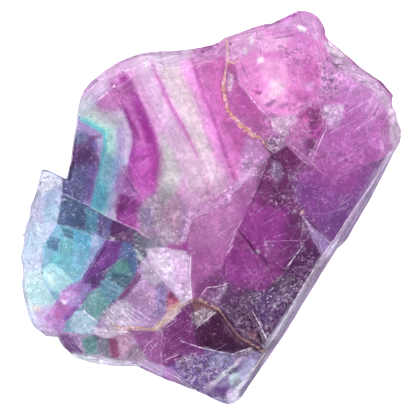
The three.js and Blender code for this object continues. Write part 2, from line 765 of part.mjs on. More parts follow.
// Angular chips knocked from the rim's upper edge.
function chipCuts(wall) {
  return spread(wall, CHIPS).map((place) => {
    const radius = between(CHIP_RADIUS, 2);
    const edge = drawnIn(place, place.lean * 0.8, 0);
    const chip = new THREE.OctahedronGeometry(radius);
    chip.scale(0.75, 1 + random(), 0.8);
    chip.rotateX(wander(0.35)).rotateY(wander(0.35)).rotateZ(place.outward.angle() + wander(0.9));
    return solidFrom(chip.translate(edge.x, edge.y, topAt(edge.x, edge.y) + radius * (0.8 - CHIP_BITE)));
  });
}

// Wedges under the table that lift the underside outside each hinge line.
function undersideCuts() {
  return UNDERSIDE.map(({ hinge, rise }) => {
    const [from, to] = hinge.map(([x, y]) => new THREE.Vector2(x, y));
    const along = to.clone().sub(from).normalize();
    const out = new THREE.Vector2(along.y, -along.x);
    const reach = 60;
    const corner = (end, sideways, away) => (
      end.clone().addScaledVector(along, sideways).addScaledVector(out, away).toArray()
    );
    const outline = [
      corner(from, -reach, 0),
      corner(to, reach, 0),
      corner(to, reach, reach),
      corner(from, -reach, reach),
    ];
    const slope = Math.tan(THREE.MathUtils.degToRad(rise));
    const ceiling = (x, y) => slope * new THREE.Vector2(x, y).sub(from).dot(out);
    return slantedPrism(outline, () => BELOW, ceiling);
  });
}

// Shallow plates missing from the underside, near its edges.
function sunkenPlates() {
  return UNDER_PLATES.map(({ depth, edge }) => slantedPrism(edge, () => BELOW, () => depth));
}

// ---- The slab --------------------------------------------------------------------------------

function slabGeometry() {
  const wall = wallPoints();
  const cuts = [
    ...facetCuts(), ...plateCuts(), ...ribCuts(), ...seamCuts(), ...cleaveCuts(wall),
    ...chipCuts(wall), ...undersideCuts(), ...sunkenPlates(),
  ];
  const cut = block(wall).subtract(wasm.Manifold.union(cuts));
  const whole = cut.decompose().sort((a, b) => b.volume() - a.volume())[0];
  const { numProp, vertProperties, triVerts } = whole.asOriginal().simplify(SLIVER).getMesh();
  const geometry = new THREE.BufferGeometry()
    .setAttribute('position', new THREE.BufferAttribute(vertProperties, numProp))
    .setIndex(new THREE.BufferAttribute(triVerts, 1));
  geometry.computeBoundingBox();
  const middle = geometry.boundingBox.getCenter(new THREE.Vector3());
  return geometry.translate(-middle.x, -middle.y, 0).toNonIndexed();
}

const fluorite = new THREE.MeshStandardMaterial({
  color: 0xb06ab8, roughness: 0.22, metalness: 0, flatShading: true,
});

const slab = new THREE.Mesh(slabGeometry(), fluorite);
slab.name = 'fluorite_slab';
slab.geometry.computeVertexNormals();

const part = new THREE.Group();
part.add(slab);

export default part;
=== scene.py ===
# %% [markdown]
# # A slab of banded fluorite
#
# This notebook dresses one broken slab of fluorite, a soft clear mineral that grows in cubes and
# splits along four slanting planes. The solid of the slab is already made, and it lies still in its
# frame. What is left is what makes a crystal look like one: fine relief on the broken faces, colour
# that sits in bands and clouds, frosted edges, cracks with clay in them, and glass that lets light
# through. Everything below is in millimetres until the last moment.

# %% Load the frame
import math

import bpy
import numpy as np
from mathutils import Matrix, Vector, noise
from mathutils.geometry import delaunay_2d_cdt
from mathutils.kdtree import KDTree


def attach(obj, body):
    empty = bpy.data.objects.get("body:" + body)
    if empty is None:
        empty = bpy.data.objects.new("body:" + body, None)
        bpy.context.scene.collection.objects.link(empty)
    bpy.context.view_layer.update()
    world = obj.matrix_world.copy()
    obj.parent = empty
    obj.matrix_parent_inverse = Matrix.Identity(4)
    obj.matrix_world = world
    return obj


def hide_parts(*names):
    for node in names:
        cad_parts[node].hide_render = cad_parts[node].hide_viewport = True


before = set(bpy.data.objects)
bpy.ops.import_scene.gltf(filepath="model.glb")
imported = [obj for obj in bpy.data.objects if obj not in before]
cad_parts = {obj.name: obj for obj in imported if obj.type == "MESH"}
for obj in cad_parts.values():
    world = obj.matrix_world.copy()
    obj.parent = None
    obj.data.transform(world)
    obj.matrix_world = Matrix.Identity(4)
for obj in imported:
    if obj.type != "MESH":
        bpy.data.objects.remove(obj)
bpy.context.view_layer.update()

MM = 0.001
ORIGIN = np.array([0.267, -0.045])  # where the middle of the slab's box lies in its drawing
dice = np.random.default_rng(7)

# %% [markdown]
# ## Camera
#
# A flat slab is best seen from straight above, through a long lens. A long lens keeps the outline
# of the crystal true: its near and far faces are drawn at almost the same size.

# %% Set the camera
LENS = 500.0  # mm
SENSOR = 36.0
VIEW_WIDTH = 83.2  # mm of slab across the picture
VIEW_HEIGHT_UP = 3.0  # the height at which that width is met
VIEW_CENTRE = (-0.567, -0.055)

eye = bpy.data.cameras.new("eye")
eye.lens = LENS
eye.sensor_width = SENSOR
eye.clip_end = 10
camera = bpy.data.objects.new("camera", eye)
camera.location = (
    VIEW_CENTRE[0] * MM,
    VIEW_CENTRE[1] * MM,
    (VIEW_HEIGHT_UP + VIEW_WIDTH * LENS / SENSOR) * MM,
)
bpy.context.collection.objects.link(camera)
bpy.context.scene.camera = camera
print("camera", round(camera.location.z, 3), "m above the floor")

# %% [markdown]
# ## Reading the solid
#
# The solid comes as a few thousand triangles. Its corners are read into an array, and corners that
# coincide are made one, so that neighbouring triangles know each other.

# %% Read the solid's corners and triangles
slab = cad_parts["fluorite_slab"]


def read_solid(mesh):
    mesh.calc_loop_triangles()
    spots = np.empty(len(mesh.vertices) * 3, np.float32)
    mesh.vertices.foreach_get("co", spots)
    corners, which = np.unique(spots.reshape(-1, 3), axis=0, return_inverse=True)
    triangles = np.empty(len(mesh.loop_triangles) * 3, np.int32)
    mesh.loop_triangles.foreach_get("vertices", triangles)
    return corners.astype(float) / MM, which.reshape(-1)[triangles].reshape(-1, 3)


corners, triangles = read_solid(slab.data)
print(len(corners), "corners,", len(triangles), "triangles")

# %% [markdown]
# ## Finding the flat faces
#
# Cleavage leaves flat faces, and each is many triangles in the solid. Two triangles that share an
# edge and face the same way belong to one face. A small union-find joins them: each triangle points
# at another of its face, and following the pointers ends at the one that stands for them all.

# %% Join triangles into flat faces
SAME_WAY = math.cos(math.radians(0.6))


def facing(spots, faces):
    a, b, c = (spots[faces[:, i]] for i in range(3))
    normals = np.cross(b - a, c - a)
    return normals, np.linalg.norm(normals, axis=1)


def edges_of(faces):
    """Each edge as (low corner, high corner), with the faces on its two sides."""
    ends = np.concatenate([faces[:, [0, 1]], faces[:, [1, 2]], faces[:, [2, 0]]])
    owner = np.tile(np.arange(len(faces)), 3)
    ends = np.sort(ends, axis=1)
    order = np.lexsort((ends[:, 1], ends[:, 0]))
    ends, owner = ends[order], owner[order]
    return ends[::2], np.stack([owner[::2], owner[1::2]], axis=1)


def flat_faces(normals, sides):
    leader = list(range(len(normals)))

    def find(i):
        while leader[i] != i:
            leader[i] = leader[leader[i]]
            i = leader[i]
        return i

    same = (normals[sides[:, 0]] * normals[sides[:, 1]]).sum(1) > SAME_WAY
    for i, j in sides[same]:
        leader[find(i)] = find(j)
    return np.unique([find(i) for i in range(len(normals))], return_inverse=True)[1]


crosses, doubled = facing(corners, triangles)
normals = crosses / np.maximum(doubled, 1e-12)[:, None]
edges, sides = edges_of(triangles)
face_of = flat_faces(normals, sides)
print(face_of.max() + 1, "flat faces")

# %% [markdown]
# ## A finer mesh on the same faces
#
# Relief and colour need many small triangles, but subdividing long thin ones only makes more long
# thin ones. So each flat face is meshed anew. Its rim is cut into short steps, once for both
# neighbours, so that the mesh stays closed. Points are then scattered over the face on a jittered
# honeycomb, and a constrained Delaunay triangulation joins them. It fills the hull of the points, so
# a flood from outside that flips at each rim edge tells which triangles lie inside.

# %% Cut the rims into steps
TOP_STEP = 0.30  # mm between points on the upper faces
WALL_STEP = 0.5
UNDER_STEP = 0.9
TOP_RISE = 0.45  # an upper face's normal rises more than this
UNDER_RISE = -0.6  # and an under face's less than this

count = face_of.max() + 1
facing_sum = np.zeros((count, 3))
np.add.at(facing_sum, face_of, crosses)
face_normal = facing_sum / np.linalg.norm(facing_sum, axis=1)[:, None]
rise = face_normal[:, 2]
step_of = np.where(rise > TOP_RISE, TOP_STEP, np.where(rise < UNDER_RISE, UNDER_STEP, WALL_STEP))
points = [tuple(p) for p in corners]


def cut_rims():
    """For each face, its rim as short steps between point numbers."""
    rims = [[] for _ in range(count)]
    for (a, b), (s, t) in zip(edges, sides):
        f, g = face_of[s], face_of[t]
        if f == g:
            continue
        length = np.linalg.norm(corners[a] - corners[b])
        steps = max(1, round(length / min(step_of[f], step_of[g])))
        chain = [a]
        for k in range(1, steps):
            points.append(tuple(corners[a] + (corners[b] - corners[a]) * k / steps))
            chain.append(len(points) - 1)
        chain.append(b)
        links = list(zip(chain, chain[1:]))
        rims[f] += links
        rims[g] += links
    return rims


rims = cut_rims()
print(len(points) - len(corners), "points along the rims")

# %% Scatter points over a face and join them
JITTER = 0.2  # of a step
ROW_GAP = 0.866  # of a step, between two rows of a honeycomb
FLAT_GUIDE = (1.0, 0.0, 0.0)  # helps to lay axes on a face that is nearly level
STEEP_GUIDE = (0.36, 0.48, 0.8)  # and on any other
LEVEL = 0.9  # a level face's normal rises more than this
NO_AREA = 1e-9  # mm2
WELD = 1e-7  # mm
RIM_CLEARANCE = 0.6


def plane_axes(normal):
    across = np.cross(normal, STEEP_GUIDE if abs(normal[2]) < LEVEL else FLAT_GUIDE)
    across /= np.linalg.norm(across)
    return np.stack([across, np.cross(normal, across)])


def honeycomb(spots, step):
    """Jittered points of one honeycomb that fall on a list of coarse triangles."""
    low, high = spots.min((0, 1)), spots.max((0, 1))
    row_step = step * ROW_GAP
    rows = np.arange(math.floor(low[1] / row_step), math.ceil(high[1] / row_step) + 1)
    columns = np.arange(math.floor(low[0] / step) - 1, math.ceil(high[0] / step) + 1)
    grid = np.stack(np.meshgrid(columns, rows), axis=-1).reshape(-1, 2).astype(float)
    grid[:, 0] += 0.5 * (grid[:, 1] % 2)
    grid *= (step, row_step)
    grid += dice.uniform(-JITTER, JITTER, grid.shape) * step
    return grid


def inside(grid, flat, space):
    """The grid points on each coarse triangle, lifted onto it."""
    found, lifted = [], []
    for (a, b, c), (p, q, r) in zip(flat, space):
        area = (b[0] - a[0]) * (c[1] - a[1]) - (b[1] - a[1]) * (c[0] - a[0])
        if abs(area) < NO_AREA:
            continue
        low, high = np.minimum(np.minimum(a, b), c), np.maximum(np.maximum(a, b), c)
        near = grid[((grid >= low) & (grid <= high)).all(1)]
        u = ((near[:, 0] - a[0]) * (c[1] - a[1]) - (near[:, 1] - a[1]) * (c[0] - a[0])) / area
        v = ((b[0] - a[0]) * (near[:, 1] - a[1]) - (b[1] - a[1]) * (near[:, 0] - a[0])) / area
        keep = (u >= 0) & (v >= 0) & (u + v < 1)
        found.append(near[keep])
        u, v = u[keep, None], v[keep, None]
        lifted.append(p * (1 - u - v) + q * u + r * v)
    if not found:
        return np.zeros((0, 2)), np.zeros((0, 3))
    return np.concatenate(found), np.concatenate(lifted)


def clear_of(rim_spots, grid, gap):
    tree = KDTree(len(rim_spots))
    for i, (x, y) in enumerate(rim_spots):
        tree.insert((x, y, 0), i)
    tree.balance()
    return np.array([tree.find((x, y, 0))[2] > gap for x, y in grid], bool)


def flood(tris, rim_links):
    """Which triangles lie inside: a flood from the hull that flips at each rim edge."""
    beside = {}
    for t, tri in enumerate(tris):
        for i, j in zip(tri, tri[1:] + tri[:1]):
            beside.setdefault((min(i, j), max(i, j)), []).append(t)
    within = [None] * len(tris)
    todo = []
    for key, owners in beside.items():
        if len(owners) == 1 and within[owners[0]] is None:
            within[owners[0]] = key in rim_links
            todo.append(owners[0])
    while todo:
        t = todo.pop()
        tri = tris[t]
        for i, j in zip(tri, tri[1:] + tri[:1]):
            key = (min(i, j), max(i, j))
            for other in beside[key]:
                if within[other] is None:
                    within[other] = within[t] != (key in rim_links)
                    todo.append(other)
    return within


def mesh_face(number):
    """The face's triangles as point numbers. New points are added to the list."""
    mine = triangles[face_of == number]
    axes = plane_axes(face_normal[number])
    space = corners[mine]
    flat = space @ axes.T
    rim = sorted({i for link in rims[number] for i in link})
    rim_spots = np.array([points[i] for i in rim]) @ axes.T
    grid, lifted = inside(honeycomb(flat, step_of[number]), flat, space)
    if len(grid):
        keep = clear_of(rim_spots, grid, RIM_CLEARANCE * step_of[number])
        grid, lifted = grid[keep], lifted[keep]
    names = rim + list(range(len(points), len(points) + len(grid)))
    points.extend(tuple(p) for p in lifted)
    place = {name: k for k, name in enumerate(names)}
    links = [(place[a], place[b]) for a, b in rims[number]]
    spots = [Vector(p) for p in np.concatenate([rim_spots, grid])]
    _, _, tris, first, _, _ = delaunay_2d_cdt(spots, links, [], 0, WELD)
    back = [f[0] for f in first]
    tris = [tuple(back[i] for i in tri) for tri in tris]
    within = flood(tris, {(min(a, b), max(a, b)) for a, b in links})
    return [tuple(names[i] for i in tri) for tri, w in zip(tris, within) if w]


fine, fine_face = [], []
for number in range(count):
    made = mesh_face(number)
    fine += made
    fine_face += [number] * len(made)
fine = np.array(fine)
fine_face = np.array(fine_face)
used, fine = np.unique(fine, return_inverse=True)
fine = fine.reshape(-1, 3)
spots = np.array(points)[used]
print(len(spots), "points,", len(fine), "fine triangles")

# %% [markdown]
# ## The net of facets
#
# The top of the slab is a net of cleavage facets, and each has a colour of its own, because light
# reaches it through another part of the crystal. The net is drawn once, as named corners, and every
# facet is a walk around them. A fine triangle takes the colour of the facet under its middle, so
# that colours change exactly at the ridges.

# %% Draw the net
NET = {
    "out_west": (-40.3, 0.5), "out_south_west": (-40.9, -24.5), "out_corner": (-35.1, 10.3),
    "out_notch": (-29.9, 7.9), "out_north_west": (-30.3, 37.1), "out_south": (-29.9, -32.9),
    "out_mid_south": (-11.9, -36.1), "out_crown": (18.1, 42.3), "out_crown_east": (27.1, 37.1),
    "out_north_east": (41.7, 26.3), "out_east": (42.9, 11.5), "out_long": (32.5, -4.9),
    "out_field": (16.1, -28.9), "out_tip": (4.5, -42.5), "out_foot": (-6.9, -38.1),
    "seam_top": (1.9, 37.1), "seam_a": (3.3, 29.1), "seam_b": (2.7, 23.9), "seam_c": (3.9, 17.9),
    "seam_d": (9.3, 13.5), "seam_end": (11.9, 10.1), "tongue_a": (10.5, 8.3), "tongue_b": (6.1, 5.3),
    "tongue_c": (-0.3, 0.5), "tongue_d": (-3.7, -1.7), "window_foot": (-4.3, -8.7),
    "window_toe": (-12.3, -8.7), "window_heel": (-14.3, -4.7), "crack_mid": (-20.3, -1.9),
    "crack_rim": (-29.3, 3.5), "block_top": (-30.3, -3.1), "block_step": (-21.1, -6.1),
    "block_edge": (-25.5, -14.7), "block_low": (-30.3, -19.5), "block_west": (-33.3, -7.7),
    "block_south_west": (-33.7, -13.7), "gully_top": (-16.5, -7.1), "gully_mid": (-19.9, -12.7),
    "gully_low": (-25.1, -18.9), "gully_end": (-30.5, -24.7), "gully_mouth": (-32.7, -23.7),
    "terrace_top": (-14.1, -11.3), "terrace_mid": (-17.9, -17.7), "terrace_low": (-22.3, -22.9),
    "frost_left": (-8.9, -14.5), "strip_a": (-23.9, -25.5), "strip_b": (-17.7, -25.7),
    "strip_c": (-9.9, -24.5), "strip_d": (-9.3, -27.7), "strip_e": (-9.9, -32.1),
    "seam2_start": (-18.3, -23.9), "seam2_knee": (-10.3, -23.7), "seam2_rise": (-8.5, -21.9),
    "seam2_corner": (-5.7, -19.3), "seam2_top": (-3.5, -18.5), "seam2_crest": (-1.7, -18.5),
    "seam2_bend": (2.5, -20.5), "seam2_mid": (5.3, -24.1), "seam2_low": (7.7, -26.1),
    "seam2_end": (10.9, -28.5), "ridge_a": (9.1, 3.1), "ridge_b": (6.7, -2.5), "ridge_c": (4.1, -8.3),
    "ridge_d": (2.3, -11.7), "ridge_e": (0.3, -15.7), "gusset_top": (4.1, -14.7),
    "gusset_foot": (1.9, -19.7), "core_top": (15.3, 6.5), "core_east": (18.3, -1.5),
    "core_south_east": (18.1, -6.7), "core_foot": (15.5, -12.1), "core_south": (10.5, -16.7),
    "wedge_east": (22.7, -10.1), "wedge_foot": (21.5, -11.3), "gusset_east": (25.3, -7.9),
    "long_a": (35.9, 10.3), "lump_corner": (10.7, 19.1), "lump_west": (5.9, 24.1),
    "lump_north_west": (4.7, 29.9), "lump_east": (22.3, 29.1), "lump_south_east": (21.7, 21.5),
    "lump_mid": (18.3, 20.5), "lump_foot": (14.7, 17.9), "toe_west": (10.5, 17.3),
    "toe_east": (23.1, 15.5), "toe_low": (19.7, 11.1), "toe_foot": (19.1, 8.5),
    "toe_notch": (15.1, 12.1), "plain_mid": (24.1, 5.5), "rim_north_east": (26.1, 31.9),
    "well_west": (-3.3, -22.7), "well_low": (-0.9, -27.7), "well_south": (4.5, -29.3),
    "foot_north_west": (-7.5, -31.7), "foot_north": (-1.3, -29.9), "foot_mid": (1.3, -34.1),
    "foot_south": (-1.7, -36.7),
}

FACETS = {
    "banded_window": (
        "out_north_west out_notch crack_rim crack_mid window_heel window_toe "
        "window_foot tongue_d tongue_c tongue_b tongue_a seam_end seam_d seam_c seam_b "
        "seam_a seam_top"
    ),
    "corner_crystal": "out_corner out_west block_west block_top crack_rim out_notch",
    "blue_wedge": "crack_rim block_top block_step window_heel crack_mid",
    "dark_hollow": "window_heel block_step gully_top terrace_top window_toe",
    "cyan_block": "block_top block_west block_south_west block_low block_edge block_step",
    "pale_shore": "block_west out_west out_south_west gully_mouth block_low block_south_west",
    "purple_gully": (
        "block_step block_edge block_low gully_mouth gully_end gully_low gully_mid "
        "gully_top"
    ),
    "green_terrace": (
        "gully_top gully_mid gully_low gully_end strip_a terrace_low terrace_mid "
        "terrace_top"
    ),
    "pale_terrace": (
        "terrace_top terrace_mid terrace_low strip_a seam2_start seam2_knee seam2_rise "
        "seam2_corner frost_left window_toe"
    ),
    "frost_triangle": "window_toe frost_left seam2_corner seam2_top window_foot",
    "mauve_slope": (
        "tongue_d window_foot seam2_top seam2_crest ridge_e ridge_d ridge_c ridge_b "
        "ridge_a seam_end tongue_a tongue_b tongue_c"
    ),
    "bottom_strip": (
        "gully_mouth out_south_west out_south out_mid_south strip_e strip_d strip_c "
        "strip_b strip_a gully_end"
    ),
    "strip_sill": "strip_a strip_b strip_c seam2_knee seam2_start",
    "plum_slope": (
        "seam2_knee strip_c strip_d strip_e foot_north_west foot_north well_low "
        "well_west seam2_top seam2_corner seam2_rise"
    ),
    "deep_well": (
        "seam2_top well_west well_low well_south seam2_end seam2_low seam2_mid "
        "seam2_bend seam2_crest"
    ),
    "frosted_foot": (
        "foot_north_west strip_e out_mid_south out_foot foot_south foot_mid well_south "
        "well_low foot_north"
    ),
    "tip_prism": "well_south foot_mid foot_south out_foot out_tip out_field seam2_end",
    "bright_gusset": "ridge_e seam2_crest seam2_bend gusset_foot gusset_top ridge_d",
    "frosted_field": (
        "gusset_top gusset_foot seam2_bend seam2_mid seam2_low seam2_end out_field "
        "wedge_foot core_foot core_south"
    ),
    "magenta_core": (
        "seam_end ridge_a ridge_b ridge_c ridge_d gusset_top core_south core_foot "
        "core_south_east core_east core_top"
    ),
    "violet_plain": "core_top core_east gusset_east out_long out_east long_a plain_mid toe_foot",
    "lilac_gusset": "core_east wedge_east gusset_east",
    "plum_wedge": "core_east core_south_east core_foot wedge_foot wedge_east",
    "long_sill": "wedge_east wedge_foot out_field out_long gusset_east",
    "right_plain": (
        "lump_east lump_south_east toe_east toe_low toe_foot plain_mid long_a out_east "
        "out_north_east rim_north_east"
    ),
    "pink_lump": (
        "seam_top seam_a lump_north_west lump_west lump_corner lump_foot lump_mid "
        "lump_south_east lump_east rim_north_east out_north_east out_crown_east "
        "out_crown"
    ),
    "lump_flank": "seam_a seam_b seam_c seam_d toe_west lump_corner lump_west lump_north_west",
    "lump_toe": (
        "lump_corner toe_west seam_d seam_end toe_notch toe_foot toe_low toe_east "
        "lump_south_east lump_mid lump_foot"
    ),
    "dark_quad": "seam_end core_top toe_foot toe_notch",
}
